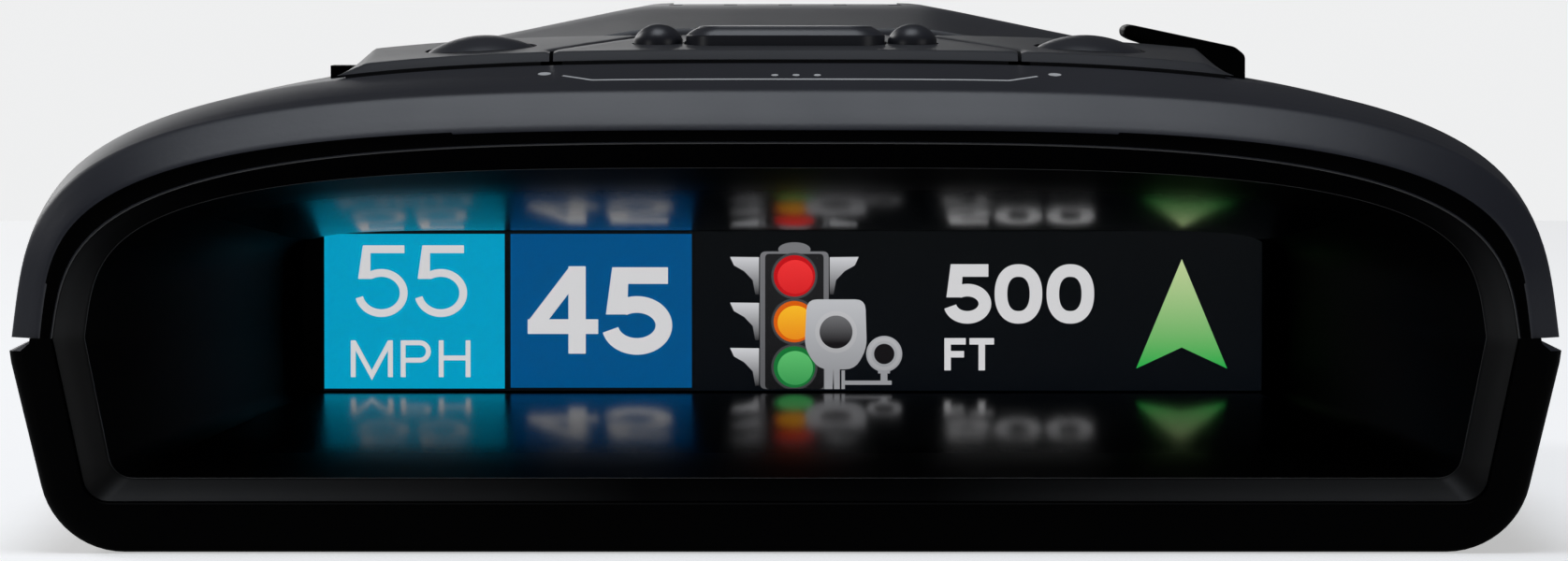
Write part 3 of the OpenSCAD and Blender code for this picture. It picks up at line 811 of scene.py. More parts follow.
def make_bezel():
    lip, mouth = lip_ring(0.05), mouth_ring()
    rings = [(lip, LIP_Y + 1.5), (lip, LIP_Y + 0.05), (ring_blend(lip, mouth, 0.03), LIP_Y)]
    for s in (0.1, 0.3, 0.5, 0.7, 0.9):
        rings.append((ring_blend(lip, mouth, s), mix(LIP_Y, MOUTH_Y, s ** 1.15)))
    rings += [(ring_blend(lip, mouth, 0.985), MOUTH_Y - 0.03)]
    rings += [(mouth, MOUTH_Y + 0.02), (mouth, MOUTH_Y + 0.1)]
    return piece("mouth_bezel", ring_loft("mouth_bezel", rings), M["bezel"], nodes=["front_bezel"])


def bead(solid, outline, y, radius, closed, sides=8):
    """A fine rounded edge that follows an outline of the front face."""
    n = len(outline)
    points = []
    for i, (x, z) in enumerate(outline):
        before = outline[i - 1] if closed or i else outline[0]
        after = outline[(i + 1) % n] if closed or i < n - 1 else outline[-1]
        tangent = Vector((after[0] - before[0], 0, after[1] - before[1])).normalized()
        normal = Vector((tangent.z, 0, -tangent.x))
        for k in range(sides):
            a = 2 * math.pi * k / sides
            p = Vector((x, y, z)) + normal * (radius * math.cos(a)) + Vector((0, radius * math.sin(a), 0))
            points.append(tuple(p))
    faces = grid_faces(n, sides, wrap_rows=True, wrap_cols=True) if closed else capped_faces(n, sides)
    return solid.add(points, faces)


def make_lip_edges():
    """Thin edge beads in a lighter plastic, a painted highlight along them: where the upper shell meets the
    bezel, and round the hood's mouth.
    """
    arch = arch_at(LIP_HALF - 0.02, LIP_TOP - 0.02, *LIP_SHAPE, ANGLES)
    upper = bead(Solid(), arch, FRONT + 0.14, 0.05, False)
    piece("lip_painted_highlight", upper.mesh("lip_painted_highlight"), M["line"], angle=60)
    mouth = bead(Solid(), mouth_ring(0.03), MOUTH_Y + 0.02, 0.045, True)
    return piece("mouth_painted_highlight", mouth.mesh("mouth_painted_highlight"), M["mouth_highlight"], angle=60)


def hood_ring(u, grow=0.0):
    """Hood section, from u = 0 on the display to u = 1 at the mouth."""
    flare, bend = u * u, math.sqrt(u)
    shape = [mix(a, b, share) for a, b, share in zip(DISPLAY_SHAPE, MOUTH_SHAPE, (bend, bend, u))]
    return opening_ring(
        mix(DISPLAY_W / 2 + 0.3, MOUTH_HALF, u ** 1.7) + grow,
        mix(DISPLAY_HIGH + 0.1, MOUTH_TOP, flare) + grow,
        mix(DISPLAY_LOW - 0.1, MOUTH_FLOOR, flare) - grow,
        mix(DISPLAY_Z, SEAM, u), shape,
        mix(DISPLAY_SLOPE, MOUTH_SLOPE, u), mix(DISPLAY_RADIUS, MOUTH_RADIUS, u) + grow / 2)


HOOD_WALL = 1.2


def make_hood():
    steps = [i / 28 for i in range(29)]
    rings = [(hood_ring(u, grow), mix(DISPLAY_Y, MOUTH_Y + 0.05, u))
             for grow, places in ((0, steps), (HOOD_WALL, steps[::-4])) for u in places]
    mesh = ring_loft("display_tunnel", rings)
    obj = piece("display_tunnel", mesh, M["hood"], nodes=["display_hood"])
    obj.data.materials.append(M["hood_side"])
    for face in obj.data.polygons:
        if abs(face.normal.x) > 0.3:
            face.material_index = 1
    return obj


# ---------------------------------------------------------------- keypad

BAR_LO, BAR_HI = mm_box("mute_button")
KEYS_Y = (BAR_LO[1] + BAR_HI[1]) / 2
SEAM_GAP = 0.22
PAD_GAP = 0.22
FRONT_CHAMFER, POD_CHAMFER = 0.9, 1.7
EDGE_ROUND, ROUND_SHARE = 0.3, 0.16
ROW_STEP, COLUMNS = 0.6, 26
# The middle part keeps its width over the first stretch and ends narrower at the back
DECK_BACK_HALF, STRAIGHT, TAPER_REST = 8.0, 2.6, 3.2


def key_surface(x, y):
    """Height of the keypad's top, without its chamfers."""
    ring = arch_at(HALF_W, BODY_TOP + DECK_RISE, *BODY_SHAPE, ANGLES)
    return height_at(ring, x) + DECK_TILT * (y - KEYS_FRONT)


def deck_edge(y):
    """Half width of the middle part: full at the front, drawn in towards the back."""
    share = (y - KEYS_FRONT - STRAIGHT) / (KEYS_BACK - KEYS_FRONT - TAPER_REST)
    return mix(DECK_HALF, DECK_BACK_HALF, min(1.0, max(0.0, share)))


def pod_edge(y):
    return deck_edge(y) + SEAM_GAP


def spread(length, near, far, inner_count):
    """Places from 0 to length, closer together at both ends."""
    a, b = max(near), length - max(far)
    places = list(near) + [a + (b - a) * i / inner_count for i in range(1, inner_count)]
    return places + [length - v for v in sorted(far, reverse=True)]


FINE = (0, 0.05, 0.12, 0.2, 0.35)
WIDE = (0, 0.12, 0.3, 0.5, 0.7, 0.8, 0.88, 0.96, 1.1, 1.3)
SIDE_CHAMFER = (0, 0.3, 0.8, 1.2, 1.5, 1.7, 1.9, 2.2)


def slab_mesh(name, left, right, chamfer_left, chamfer_right):
    """A keypad piece between two edges, which are functions of y. A chamfer of 0 is a small round."""
    front, back = KEYS_FRONT + 0.05, KEYS_BACK
    near = SIDE_CHAMFER if chamfer_left else FINE
    far = SIDE_CHAMFER if chamfer_right else FINE
    rows = int((back - front - max(WIDE) - max(FINE)) / ROW_STEP)
    rows_top, rows_low = [], []
    for y in [front + round(v, 5) for v in spread(back - front, WIDE, FINE, rows)]:
        x0, x1 = left(y), right(y)
        row_top, row_low = [], []
        for x in [x0 + v for v in spread(x1 - x0, near, far, COLUMNS)]:
            base = surface_z(x, max(y, BODY_FRONT)) + PAD_GAP
            top = key_surface(x, y)
            share = max(edge_share(y - front, FRONT_CHAMFER), edge_share(back - y, 0),
                        edge_share(x - x0, chamfer_left), edge_share(x1 - x, chamfer_right))
            row_top.append((x, y, mix(top, min(base, top), share)))
            row_low.append((min(max(x, x0 + 0.5), x1 - 0.5), min(max(y, front + 0.6), back - 0.5), base))
        rows_top.append(row_top)
        rows_low.append(row_low)
    return closed_pad(name, rows_top, rows_low)


def chamfer_share(distance, width):
    """1 at an edge, 0 past the chamfer, with a rounded crest."""
    q = max(0.0, 1 - distance / width)
    return q * q * 1.06 / (q + 0.06)


def edge_share(distance, width):
    """How far an edge of a keypad piece has come down; a width of 0 stands for a small round."""
    return chamfer_share(distance, width) if width else ROUND_SHARE * chamfer_share(distance, EDGE_ROUND)


def closed_pad(name, rows_top, rows_low):
    """Closed piece: its top, a rim down to the case, an undercut and a foot inside the case."""
    rows, cols = len(rows_top), len(rows_top[0])
    rim = [(0, c) for c in range(cols)] + [(r, cols - 1) for r in range(1, rows)]
    rim += [(rows - 1, c) for c in range(cols - 2, -1, -1)] + [(r, 0) for r in range(rows - 2, 0, -1)]
    points = [p for row in rows_top for p in row]
    faces = grid_faces(rows, cols)
    top_loop = [r * cols + c for r, c in rim]
    count = len(rim)

    def loop(new_points):
        start = len(points)
        points.extend(new_points)
        return list(range(start, start + count))

    upper_rim = [rows_top[r][c] for r, c in rim]
    lower_rim = [rows_low[r][c] for r, c in rim]
    under = loop([(x, y, min(low[2], z)) for (x, y, z), low in zip(upper_rim, lower_rim)])
    inset = loop([(x, y, z - 0.02) for x, y, z in lower_rim])
    start = len(points)
    points.extend((x, y, z - PAD_GAP - 0.5) for row in rows_low for x, y, z in row)
    faces += grid_faces(rows, cols, start=start)
    foot = [start + r * cols + c for r, c in rim]
    for a, b in ((top_loop, under), (under, inset), (inset, foot)):
        faces += [(a[i], a[(i + 1) % count], b[(i + 1) % count], b[i]) for i in range(count)]
    return new_mesh(name, points, faces)


def circle(cx, cy, radius, count=56):
    angles = [2 * math.pi * i / count for i in range(count)]
    return [(cx + radius * math.cos(a), cy + radius * math.sin(a)) for a in angles]


BAR_HALF, BAR_TOP = BAR_HI[0], BAR_HI[2]
BAR_DEPTH, BAR_CORNER = 2.3, 1.6
KEY_FOOT = BAR_LO[2]
HOLE_GAP = 0.12
HOLE_SPAN = (20, ABOVE)

# Round buttons: body, place across the keypad, radius
DOMES = {
    "volume_down_button": ("volume_down_key", -7.3, 1.4),
    "volume_up_button": ("volume_up_key", 7.3, 1.4),
    "brightness_button": ("brightness_key", -17.5, 3.1),
    "sensitivity_button": ("sensitivity_key", 17.5, 3.1),
}


def cut_key_hole(obj, outline):
    boolean(obj, Solid().prism(outline, HOLE_SPAN), own_overlaps=True)


def dome_hole(node):
    x, radius = DOMES[node][1:]
    return circle(x, KEYS_Y, radius + HOLE_GAP)


def make_keypad():
    """The middle part and a pod on each side, with the holes for the keys."""
    parts = [
        ("keypad_middle", "keypad_deck", lambda y: -deck_edge(y), deck_edge, 0, 0,
         ("volume_down_button", "volume_up_button")),
        ("keypad_left", "left_button_pod", lambda y: -KEYPAD_HALF, lambda y: -pod_edge(y), POD_CHAMFER, 0,
         ("brightness_button",)),
        ("keypad_right", "right_button_pod", pod_edge, lambda y: KEYPAD_HALF, 0, POD_CHAMFER,
         ("sensitivity_button",)),
    ]
    for name, node, left, right, chamfer_left, chamfer_right, domes in parts:
        mesh = slab_mesh(name, left, right, chamfer_left, chamfer_right)
        obj = piece(name, mesh, M["keypad"], nodes=[node])
        if node == "keypad_deck":
            cut_key_hole(obj, rounded_rect(0, KEYS_Y, BAR_HALF + HOLE_GAP, BAR_DEPTH + HOLE_GAP,
                                           BAR_CORNER + HOLE_GAP, 10))
        for dome in domes:
            cut_key_hole(obj, dome_hole(dome))
        smooth(obj, 32)


def make_bar_button():
    """Long button: rounded shoulders, sloping ends and a slightly crowned top."""
    wall_top, face = BAR_TOP - 0.62, BAR_TOP - 0.12
    turns = (0.5, 1.0, 1.5)
    steps = [(KEY_FOOT, 0), (wall_top, 0)]
    steps += [(wall_top + 0.1 * math.sin(a), 0.06 * (1 - math.cos(a))) for a in turns]
    steps += [(wall_top + 0.2, 0.12), (wall_top + 0.4, 0.36), (face, 0.54)]
    steps += [(face + 0.09 * math.sin(a), 0.54 + 0.16 * (1 - math.cos(a))) for a in turns]
    points = []
    for z, inset in steps:
        outline = rounded_rect(0, KEYS_Y, BAR_HALF - 1.3 * inset, BAR_DEPTH - inset,
                               BAR_CORNER - 0.5 * inset, 10)
        points += [(x, y, z) for x, y in outline]
    crown = (0.85, 0.6, 0.3)
    for s in crown:
        points += [(x * (0.5 + 0.5 * s), mix(KEYS_Y, y, s), BAR_TOP - 0.03 * s * s) for x, y in outline]
    faces = capped_faces(len(steps) + len(crown), len(outline))
    return piece("mute_bar", new_mesh("mute_bar", points, faces), M["button"], "mute_key",
                 ["mute_button"], angle=35)


def make_dome(node):
    """Round button: a shallow dome that leans with the keypad under it."""
    body, cx, radius = DOMES[node]
    top = mm_box(node)[1][2]
    rise, count = 0.85, 56
    lean = (key_surface(cx + 1, KEYS_Y) - key_surface(cx - 1, KEYS_Y)) / 2
    sphere = (radius ** 2 + rise ** 2) / (2 * rise)
    profile = [(radius, KEY_FOOT), (radius, top - rise - 0.35), (radius, top - rise - 0.04)]
    for i in range(1, 13):
        r = radius * (1 - i / 12)
        profile.append((r, top - sphere + math.sqrt(sphere ** 2 - r * r)))
    points = []
    for r, z in profile[:-1]:
        for x, y in circle(cx, KEYS_Y, r, count):
            shear = lean * (x - cx) if z > KEY_FOOT else 0
            points.append((x, y, z + shear))
    rows = len(profile) - 1
    points.append((cx, KEYS_Y, top))
    faces = grid_faces(rows, count, wrap_cols=True) + [tuple(range(count))]
    apex = len(points) - 1
    faces += [((rows - 1) * count + i, (rows - 1) * count + (i + 1) % count, apex) for i in range(count)]
    name = node.replace("_button", "_dome")
    return piece(name, new_mesh(name, points, faces), M["button"], body, [node], angle=40)


# ---------------------------------------------------------------- lever, tab, plate, spring

def rounded_path(points, radius, steps=4):
    """A closed outline with each corner rounded by an arc-like curve."""
    out = []
    n = len(points)
    for i in range(n):
        before, here, after = Vector(points[i - 1]), Vector(points[i]), Vector(points[(i + 1) % n])
        a, b = before - here, after - here
        cut = min(radius, a.length * 0.45, b.length * 0.45)
        p, q = here + a.normalized() * cut, here + b.normalized() * cut
        for k in range(steps + 1):
            s = k / steps
            out.append(tuple(p * (1 - s) ** 2 + here * 2 * s * (1 - s) + q * s * s))
    return out


def make_lever():
    x0, x1 = LEVER_LO[0], LEVER_HI[0]
    z0, z1 = LEVER_LO[2], LEVER_HI[2]
    section = [(x1, z0), (x1, z1 - 1.8), (x1 - 0.6, z1 - 1.3), (x0 + 0.4, z1), (x0, z1 - 0.2),
               (x0, z1 - 0.65), (x0 + 0.4, z1 - 0.9), (x1 - 0.8, z0 + 0.45), (x1 - 0.7, z0)]
    outline = rounded_path(section, 0.22)
    round_off = [(0, 0.12), (0.04, 0.05), (0.12, 0)]
    ys = [(LEVER_LO[1] + d, inset) for d, inset in round_off]
    ys += [(LEVER_HI[1] - d, inset) for d, inset in round_off[::-1]]
    centre = Vector(((x0 + x1) / 2, (z0 + z1) / 2))
    points = []
    for y, inset in ys:
        for p in outline:
            v = Vector(p)
            scale = 1 - inset / max(0.5, (v - centre).length)
            points.append((centre.x + (v.x - centre.x) * scale, y, centre.y + (v.y - centre.y) * scale))
    mesh = new_mesh("release_tab", points, capped_faces(len(ys), len(outline)))
    return piece("release_tab", mesh, M["trim"], "mount_lever", ["release_lever"], angle=40)


def make_spring():
    """Torsion coil round the lever's pin."""
    low, high = mm_box("lever_spring")
    pin_low, pin_high = mm_box("lever_pin")
    cx, cz = (pin_low[0] + pin_high[0]) / 2, (pin_low[2] + pin_high[2]) / 2
    wire, radius, turns, sides = 0.1, 0.68, 4, 8
    steps = 24 * turns
    points = []
    for i in range(steps + 1):
        a = 2 * math.pi * turns * i / steps
        y = mix(low[1] + wire, high[1] - wire, i / steps)
        for k in range(sides):
            b = 2 * math.pi * k / sides
            r = radius + wire * math.cos(b)
            points.append((cx + r * math.cos(a), y + wire * math.sin(b), cz + r * math.sin(a)))
    mesh = new_mesh("lever_coil", points, capped_faces(steps + 1, sides))
    return piece("lever_coil", mesh, M["steel"], nodes=["lever_spring"], angle=60)


# ---------------------------------------------------------------- display contents

# Each layer of the display's contents lies this far in front of the one below
LAYER_STEP, LAYER_THICKNESS = 0.008, 0.006
CYAN, BLUE = linear(2, 154, 191), linear(1, 78, 132)
WHITE = linear(209, 208, 208)


def stroke(points, width):
    """Flat ribbon along a line in the display plane (x, z), with square ends and mitred corners."""
    left, right = [], []
    n = len(points)
    for i in range(n):
        here = Vector(points[i])
        into = (here - Vector(points[i - 1])).normalized() if i else None
        out = (Vector(points[i + 1]) - here).normalized() if i < n - 1 else None
        if into is None or out is None:
            d = out if into is None else into
            side = Vector((-d.y, d.x)) * (width / 2)
        else:
            mean = (into + out).normalized()
            side = Vector((-mean.y, mean.x)) * (width / 2 / max(0.35, mean.dot(out)))
        left.append(tuple(here + side))
        right.append(tuple(here - side))
    return left, right


def arc(cx, cz, rx, rz, start, end, steps=20):
    angles = [math.radians(mix(start, end, i / steps)) for i in range(steps + 1)]
    return [(cx + rx * math.cos(a), cz + rz * math.sin(a)) for a in angles]


def full_circle(cx, cz, rx, rz, steps):
    return arc(cx, cz, rx, rz, 0, 360, steps)[:-1]


class Drawing:
    """Flat closed shapes in the display plane, each a thin plate."""

    def __init__(self, layer):
        self.solid = Solid()
        front = PANEL_LO[1] - LAYER_THICKNESS + 0.002 - layer * LAYER_STEP
        self.ys = (front, front + LAYER_THICKNESS)

    def add(self, loops, faces):
        """Puts the loops of (x, z) points on the front and then on the back of the layer."""
        self.solid.add([(x, y, z) for y in self.ys for loop in loops for x, z in loop], faces)
        return self

    def polygon(self, outline):
        return self.add([outline], capped_faces(2, len(outline)))

    def ribbon(self, points, width):
        left, right = stroke(points, width)
        return self.add([left, right], strip_faces(len(left)))

    def loop(self, points, width):
        """A closed ribbon."""
        outer, inner = [], []
        for i, here in enumerate(points):
            d = (Vector(points[(i + 1) % len(points)]) - Vector(points[i - 1])).normalized()
            side = Vector((d.y, -d.x)) * (width / 2)
            outer.append(tuple(Vector(here) + side))
            inner.append(tuple(Vector(here) - side))
        front, back = self.ys
        rows = ((front, outer), (front, inner), (back, inner), (back, outer))
        self.solid.add([(x, y, z) for y, ring in rows for x, z in ring],
                       grid_faces(4, len(points), wrap_rows=True, wrap_cols=True))
        return self

    def ring(self, cx, cz, radius, width):
        return self.loop(full_circle(cx, cz, radius, radius, 40), width)

    def rect(self, x0, z0, x1, z1):
        return self.polygon([(x0, z0), (x1, z0), (x1, z1), (x0, z1)])

    def disc(self, cx, cz, radius):
        return self.polygon(full_circle(cx, cz, radius, radius, 40))

    def finish(self, name, material):
        return piece(name, self.solid.mesh(name), material, angle=20)


def draw_five(d, x, z, w, h, t):
    """Figure five in a box w by h with its lower left corner at x, z and strokes t wide."""
    r_x, r_z = (w - t) / 2, h * 0.335 - t / 2
    cx, cz = x + w / 2, z + h * 0.335
    left, top = x + 0.15 * w, z + h
    join_x = cx + (r_x - t / 2) * math.cos(math.radians(120))
    join_z = cz + (r_z - t / 2) * math.sin(math.radians(120))
    d.rect(left, top - t, x + 0.94 * w, top)
    d.polygon([(left, top), (left + t, top), (min(left + 0.97 * t, join_x), z + 0.62 * h),
               (join_x, join_z), (x + 0.06 * w, join_z)])
    d.ribbon(arc(cx, cz, r_x, r_z, 120, -168, 40), t)


def draw_zero(d, x, z, w, h, t):
    def fuller(v):
        return math.copysign(abs(v) ** 0.88, v)
    angles = [2 * math.pi * i / 48 for i in range(48)]
    d.loop([(x + w / 2 + (w - t) / 2 * fuller(math.cos(a)), z + h / 2 + (h - t) / 2 * fuller(math.sin(a)))
            for a in angles], t)


def draw_four(d, x, z, w, h, t):
    stem = x + w * 0.7
    d.ribbon([(stem, z), (stem, z + h)], t)
    d.ribbon([(x, z + h * 0.31), (x + w, z + h * 0.31)], t * 0.85)
    d.ribbon([(x + t * 0.42, z + h * 0.33), (stem - t * 0.12, z + h - t * 0.36)], t * 0.9)


# Unit letters: width as a share of height, and how many of the left and right edges carry a stem
LETTERS = {"M": (1.14, 2), "P": (0.82, 1), "H": (0.86, 2), "F": (0.66, 1), "T": (0.76, 0)}


def draw_letters(d, text, x, z, h, t, space):
    """Upright unit letters from straight strokes and arcs."""
    for letter in text:
        share, stems = LETTERS[letter]
        w, top, left = share * h, z + h, x + t / 2
        right, bar = x + w - t / 2, z + h - t / 2
        for place in (left, right)[:stems]:
            d.ribbon([(place, z), (place, top)], t)
        if letter == "M":
            peak = top - t * 0.3
            d.ribbon([(x + t * 0.6, peak), (x + w / 2, z + t * 0.4), (x + w - t * 0.6, peak)], t)
        if letter == "P":
            r = h * 0.27 - t / 4
            bowl = arc(right - r, bar - r, r, r, 90, -90, 14)[1:]
            d.ribbon([(left, bar), (right - r, bar)] + bowl + [(left, bar - 2 * r)], t)
        if letter == "H":
            d.ribbon([(left, z + h * 0.52), (right, z + h * 0.52)], t)
        if letter == "F":
            d.ribbon([(left, bar), (x + w, bar)], t)
            d.ribbon([(left, z + h * 0.5), (x + w * 0.92, z + h * 0.5)], t)
        if letter == "T":
            d.ribbon([(x + w / 2, z), (x + w / 2, top)], t)
            d.ribbon([(x, bar), (x + w, bar)], t)
        x += w + space


def make_display():
    """Field, two coloured tiles, the figures with their units, and the direction arrow."""
    zc, left = DISPLAY_Z, -DISPLAY_W / 2
    Drawing(0).rect(left + 0.85, DISPLAY_LOW, -left, DISPLAY_HIGH).finish(
        "display_field", lit("field_light", linear(9, 11, 12), linear(6, 9, 13)))
    tile_low, tile_high = zc - 4.57, zc + 4.53
    Drawing(1).rect(left + 0.9, tile_low, left + 11.5, tile_high).finish(
        "speed_tile", lit("cyan_light", CYAN))
    Drawing(1).rect(left + 11.85, tile_low + 0.05, left + 22.5, tile_high).finish(
        "limit_tile", lit("blue_light", BLUE))
    figures = Drawing(2)
    for x in (2.7, 6.2):
        draw_five(figures, left + x, zc - 0.36, 3.1, 4.22, 0.46)
    draw_letters(figures, "MPH", left + 2.45, zc - 3.9, 2.17, 0.29, 0.46)
    draw_four(figures, left + 12.85, zc - 2.52, 4.15, 5.15, 1.02)
    draw_five(figures, left + 17.2, zc - 2.58, 4.15, 5.15, 0.98)
    for x, draw in ((9.3, draw_five), (12.3, draw_zero), (15.35, draw_zero)):
        draw(figures, x, zc - 0.75, 2.8, 3.5, 0.74)
    draw_letters(figures, "FT", 9.35, zc - 3.5, 1.9, 0.38, 0.22)
    figures.finish("display_figures", lit("figure_light", WHITE))
    x, top, foot = 23.3, zc + 3.05, zc - 3.4
    arrow = Drawing(2).polygon([(x, top), (x - 2.68, foot), (x, foot + 1.25), (x + 2.68, foot)])
    arrow_light = lit("arrow_light", linear(190, 205, 150), linear(30, 165, 70), z_range=(foot, top))
    arrow.finish("direction_arrow", arrow_light)


# Name, height on the display, colours of the core and the edge
LAMPS = [
    ("red", 2.06, (236, 52, 52), (190, 20, 26)),
    ("amber", -0.63, (246, 184, 40), (214, 92, 14)),
    ("green", -3.3, (92, 188, 108), (24, 112, 52)),
]
SIGNAL_X = 0.53
SIGNAL_LOW = DISPLAY_Z - 4.6


def signal_box(half, top, radius):
    """An upright box with rounded corners that stands on the signal's foot."""
    x0, x1, low = SIGNAL_X - half, SIGNAL_X + half, SIGNAL_LOW
    return rounded_path([(x0, low), (x0, top), (x1, top), (x1, low)], radius)


def lamp_disc(layer, name, place, radii, lift, light):
    """A disc that the signal's foot cuts off."""
    outline = full_circle(*place, *radii, 48)
    Drawing(layer).polygon([(x, max(z, SIGNAL_LOW + lift)) for x, z in outline]).finish(name, light)


def make_lamp(name, z, core, edge):
    x = SIGNAL_X
    bottom = max(z - 1.1, SIGNAL_LOW + 0.05)
    visors = Drawing(2)
    for s in (-1, 1):
        outline = [(2.08, z + 1.1), (3.78, z + 1.12), (3.55, z + 0.62), (2.95, z + 0.28), (2.45, z - 0.25),
                   (2.3, bottom), (2.08, bottom)]
        visors.polygon([(x + s * d, height) for d, height in outline][::s])
    visors.finish(name + "_visors", lit(
        name + "_visor_light", linear(205, 205, 207), linear(44, 44, 45), z_range=(bottom, z + 1.15)))
    half_way = [(a + b) / 2 for a, b in zip(core, edge)]
    lamp_disc(4, name + "_rim", (x, z), (1.36, 1.36), 0.02,
              lit(name + "_rim_light", linear(70, 70, 72), linear(60, 62, 62)))
    lamp_disc(5, name + "_lamp", (x, z), (1.22, 1.22), 0.03,
              lit(name + "_edge_light", linear(*edge)))
    lamp_disc(6, name + "_core", (x + 0.05, z - 0.06), (1.04, 1.0), 0.04,
              lit(name + "_core_light", linear(*core), linear(*half_way), z_range=(z - 1, z + 1)))


def make_signal():
    """Pictogram of a traffic signal with a camera beside it."""
    zc, x = DISPLAY_Z, SIGNAL_X
    grey = lit("signal_grey", linear(120, 120, 122), linear(86, 86, 88))
    pale = lit("signal_pale", linear(214, 214, 216), linear(150, 150, 152))
    dark = lit("signal_dark", linear(34, 34, 35), linear(20, 20, 21))
    mid = lit("camera_grey", linear(186, 187, 190), linear(146, 147, 150), z_range=(zc - 3.6, zc + 0.7))
    rim = Drawing(2).polygon(signal_box(2.02, zc + 3.5, 0.35))
    rim.polygon(full_circle(x, zc + 3.62, 0.95, 0.42, 32)).finish("signal_rim", grey)
    Drawing(3).polygon(signal_box(1.72, zc + 3.36, 0.25)).finish("signal_body", dark)
    for name, height, core, edge in LAMPS:
        make_lamp(name, zc + height, core, edge)
    posts = Drawing(7)
    for x0, x1, low, high in ((2.3, 2.78, -4.6, -3.2), (2.86, 3.2, -4.6, -3.2), (3.3, 3.5, -4.6, -3.5),
                              (3.5, 6.25, -4.35, -4.1), (5.6, 6.0, -4.2, -3.5), (5.45, 6.15, -3.68, -3.5)):
        posts.rect(x0, zc + low, x1, zc + high)
    posts.finish("camera_posts", mid)
    outline = [(1.27, 0.68), (1.13, -2.2), (1.95, -3.44), (4.1, -3.44), (4.79, -2.2), (4.7, 0.68)]
    large, small = (2.98, zc - 1.24), (5.81, zc - 2.53)
    camera = Drawing(8).polygon(rounded_path([(px, zc + pz) for px, pz in outline], 0.6))
    camera.disc(*small, 1.06).finish("camera_body", mid)
    Drawing(9).ring(*large, 1.1, 0.26).ring(*small, 0.86, 0.2).finish("camera_rim", pale)
    lens_light = lit("lens_grey", linear(104, 104, 106), linear(20, 18, 20), z_range=(zc - 1.9, zc - 0.4))
    Drawing(9).disc(*large, 0.97).disc(*small, 0.6).finish("camera_lens", lens_light)


# ---------------------------------------------------------------- printed marks

PRINT_TOP, PRINT_LOW = 0.012, 0.002


def on_surface(points):
    """The points on top of the print, then the same ones at its foot."""
    return [(x, y, surface_z(x, y) + lift) for lift in (PRINT_TOP, PRINT_LOW) for x, y in points]


def surface_strip(solid, path, width):
    """A thin printed line that lies on the case in front of the keypad."""
    left, right = stroke(path, width)
    solid.add(on_surface(left + right), strip_faces(len(left)))


def surface_dot(solid, cx, cy, radius, count=28):
    solid.add(on_surface(circle(cx, cy, radius, count)), capped_faces(2, count))


def make_marks():
    marks = Solid()
    line_y, end_y = FRONT + 3.85, FRONT + 4.9
    middle = [(x, line_y) for x in np.linspace(-10.9, 12.6, 26)]
    surface_strip(marks, [(-12.55, end_y)] + middle + [(14.2, end_y)], 0.2)
    for x in (-13.6, 15.2):
        surface_dot(marks, x, FRONT + 5.45, 0.37)
    for x in (-0.6, 0.6, 1.8):
        surface_dot(marks, x, FRONT + 4.7, 0.2)
    return piece("printed_marks", marks.mesh("printed_marks"), M["print"], angle=40)


# ---------------------------------------------------------------- parts that stay as CAD nodes

CAD_LOOKS = {
    "display_panel": ("ring", 0.1), "display_bracket": ("bracket", 0.2), "display_ribbon": ("ribbon", 0),
    "display_window": ("glass", 0), "keypad_board": ("board", 0.08), "keypad_switches": ("tin", 0.1),
    "lever_pin": ("steel", 0.06), "guide_tab": ("trim", 0.15), "mount_plate": ("plate", 0.12),
    "laser_sensor": ("dark", 0.15), "main_board": ("board", 0.08), "shield_can": ("tin", 0.25),
    "front_horn": ("tin", 0.15), "rear_horn": ("tin", 0.15), "gps_antenna": ("ceramic", 0.15),
    "speaker": ("dark", 0.15), "speaker_gasket": ("foam", 0.1), "power_jack": ("dark", 0.15),
    "earphone_jack": ("dark", 0.12), "usb_port": ("tin", 0.08), "shell_screws": ("black_steel", 0.1),
    "board_screws": ("steel", 0.1),
}


def dress_cad_nodes():
    for node, (look, width) in CAD_LOOKS.items():
        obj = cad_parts[node]
        obj.data.materials.clear()
        obj.data.materials.append(M[look])
        smooth(obj, 30)
        if width:
            bevelled(obj, width)


def make_contacts():
    """Metal contacts inside the sockets."""
    pins = Solid()
    for i in range(4):
        y = PORT_Y - 2.4 + 1.6 * i
        pins.box((POWER_LO[0] + 1.2, y - 0.25, PORT_Z + POWER_H / 2 - 0.55),
                 (POWER_LO[0] + 9.5, y + 0.25, PORT_Z + POWER_H / 2 - 0.3))
    contacts = piece("socket_contacts", pins.mesh("socket_contacts"), M["gold"])
    bevelled(contacts, 0.06)
    plate = Solid().box((USB_LO[0] + 1.5, PORT_Y - 2.6, PORT_Z - 0.33),
                        (USB_HI[0] - 0.8, PORT_Y + 2.6, PORT_Z + 0.33))
    tongue = piece("usb_tongue", plate.mesh("usb_tongue"), M["dark"])
    bevelled(tongue, 0.12)


# ---------------------------------------------------------------- camera, floor and light

CAMERA_TILT = math.radians(2)
CAMERA_DISTANCE = 500
CAMERA_LENS = 205.5


def make_camera():
    camera = bpy.data.cameras.new("camera")
    camera.lens = CAMERA_LENS
    camera.sensor_width = 36
    obj = link(bpy.data.objects.new("camera", camera))
    aim = Vector((-0.08, FRONT, CREST / 2))
    back = Vector((0, -math.cos(CAMERA_TILT), math.sin(CAMERA_TILT)))
    obj.location = (aim + back * CAMERA_DISTANCE) * MM
    obj.rotation_mode = "QUATERNION"
    obj.rotation_quaternion = (-back).to_track_quat("-Z", "Y")
    camera.clip_start, camera.clip_end = 0.01, 20
    bpy.context.scene.camera = obj


def area_light(name, place, aim, size, power, colour):
    light = bpy.data.lights.new(name, "AREA")
    light.shape = "RECTANGLE"
    light.size, light.size_y = size
    light.energy = power
    light.color = colour
    obj = link(bpy.data.objects.new(name, light))
    obj.location = place
    obj.rotation_mode = "QUATERNION"
    obj.rotation_quaternion = (Vector(aim) - Vector(place)).to_track_quat("-Z", "Y")


NEUTRAL = (1, 1, 1)
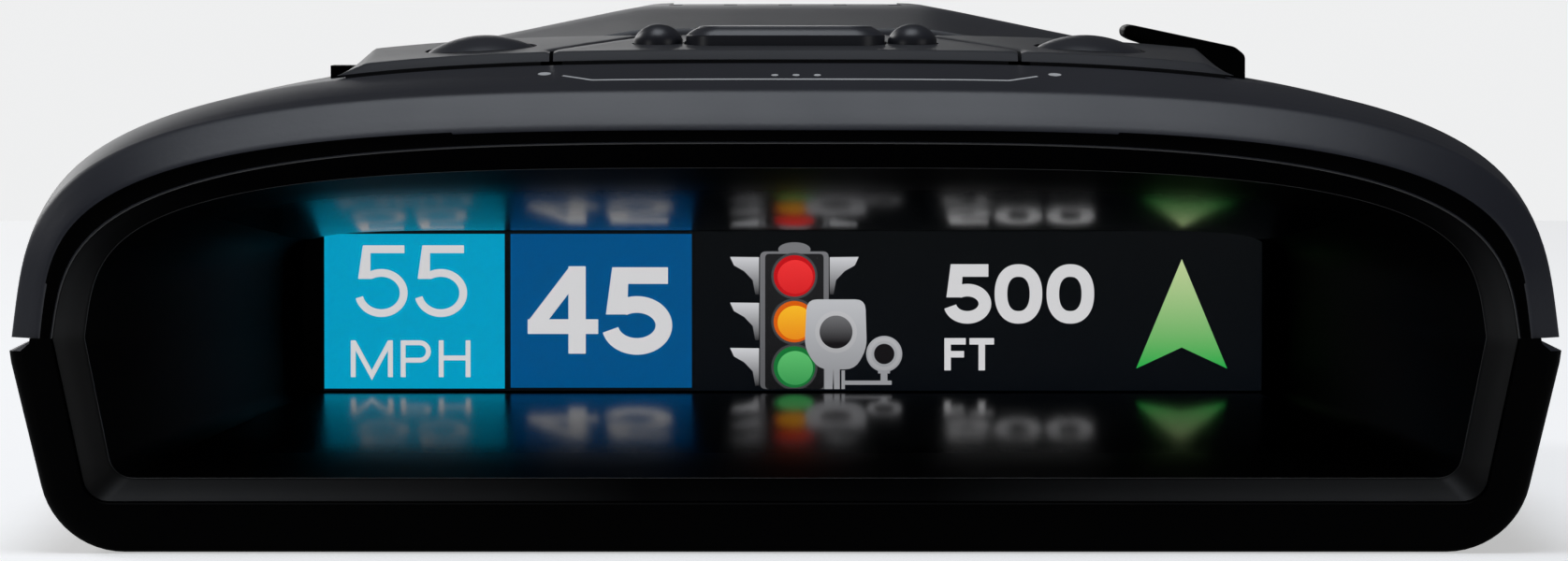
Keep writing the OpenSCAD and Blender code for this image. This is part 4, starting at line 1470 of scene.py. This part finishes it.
# Name, then place, aim and size in metres, power, colour
LIGHTS = [
    ("overhead", (-0.05, -0.12, 0.9), (-0.02, -0.05, 0), (0.45, 0.5), 3.1, (0.88, 0.93, 1.0)),
    ("back_left", (-0.4, 1.25, 0.27), (0, 0, 0.02), (0.9, 0.3), 1.8, NEUTRAL),
    ("key_left", (-0.9, 0.8, 0.62), (0, 0, 0.02), (0.5, 0.4), 3.2, NEUTRAL),
    ("front_left", (-0.6, -0.6, 0.1), (0, -0.06, 0.012), (0.25, 0.25), 0.35, NEUTRAL),
    ("front_right", (0.62, -0.6, 0.2), (0, -0.05, 0.012), (0.4, 0.3), 0.4, NEUTRAL),
]
FLOOR_RADIUS = 0.6
# What the object gets from the floor and the surroundings, and what the camera sees of them
FLOOR_GLOW = (0.08, 0.48)
WORLD_LIGHT, WORLD_SEEN = 0.05, (0.86, 0.865, 0.87, 1)


def make_floor():
    mesh = bpy.data.meshes.new("floor")
    bm = bmesh.new()
    bmesh.ops.create_circle(bm, cap_ends=True, radius=FLOOR_RADIUS, segments=128)
    bm.to_mesh(mesh)
    bm.free()
    floor = link(bpy.data.objects.new("floor", mesh))
    floor.location = (0, 0, -0.00005)
    mat = plastic("floor_paint", (0.9, 0.9, 0.91), 0.9, 0.1, mottle=0.0)
    tree = mat.node_tree
    seen = add_node(tree, "LightPath", {}).outputs["Is Camera Ray"]
    glow = map_range(tree, seen, (0, 1), FLOOR_GLOW)
    shader = tree.nodes["Principled BSDF"]
    set_inputs(tree, shader, {"Emission Color": (1, 1, 1, 1), "Emission Strength": glow})
    mesh.materials.append(mat)


def make_world():
    world = bpy.data.worlds.new("studio")
    world.use_nodes = True
    tree = world.node_tree
    light = tree.nodes["Background"]
    set_inputs(tree, light, {"Color": (1, 1, 1, 1), "Strength": WORLD_LIGHT})
    seen = add_node(tree, "Background", {"Color": WORLD_SEEN, "Strength": 1.0})
    either = add_node(tree, "MixShader", {
        "Fac": add_node(tree, "LightPath", {}).outputs["Is Camera Ray"],
        1: light.outputs["Background"],
        2: seen.outputs["Background"],
    })
    set_inputs(tree, tree.nodes["World Output"], {"Surface": either.outputs["Shader"]})
    bpy.context.scene.world = world


def make_stage():
    make_floor()
    for light in LIGHTS:
        area_light(*light)
    make_world()
    bpy.context.scene.view_settings.view_transform = "Standard"


make_camera()
make_stage()
make_upper_shell()
make_lens()
make_lower_shell()
make_bezel()
make_lip_edges()
make_hood()
make_keypad()
make_bar_button()
for dome_node in DOMES:
    make_dome(dome_node)
make_lever()
make_spring()
make_display()
make_signal()
make_marks()
dress_cad_nodes()
make_contacts()
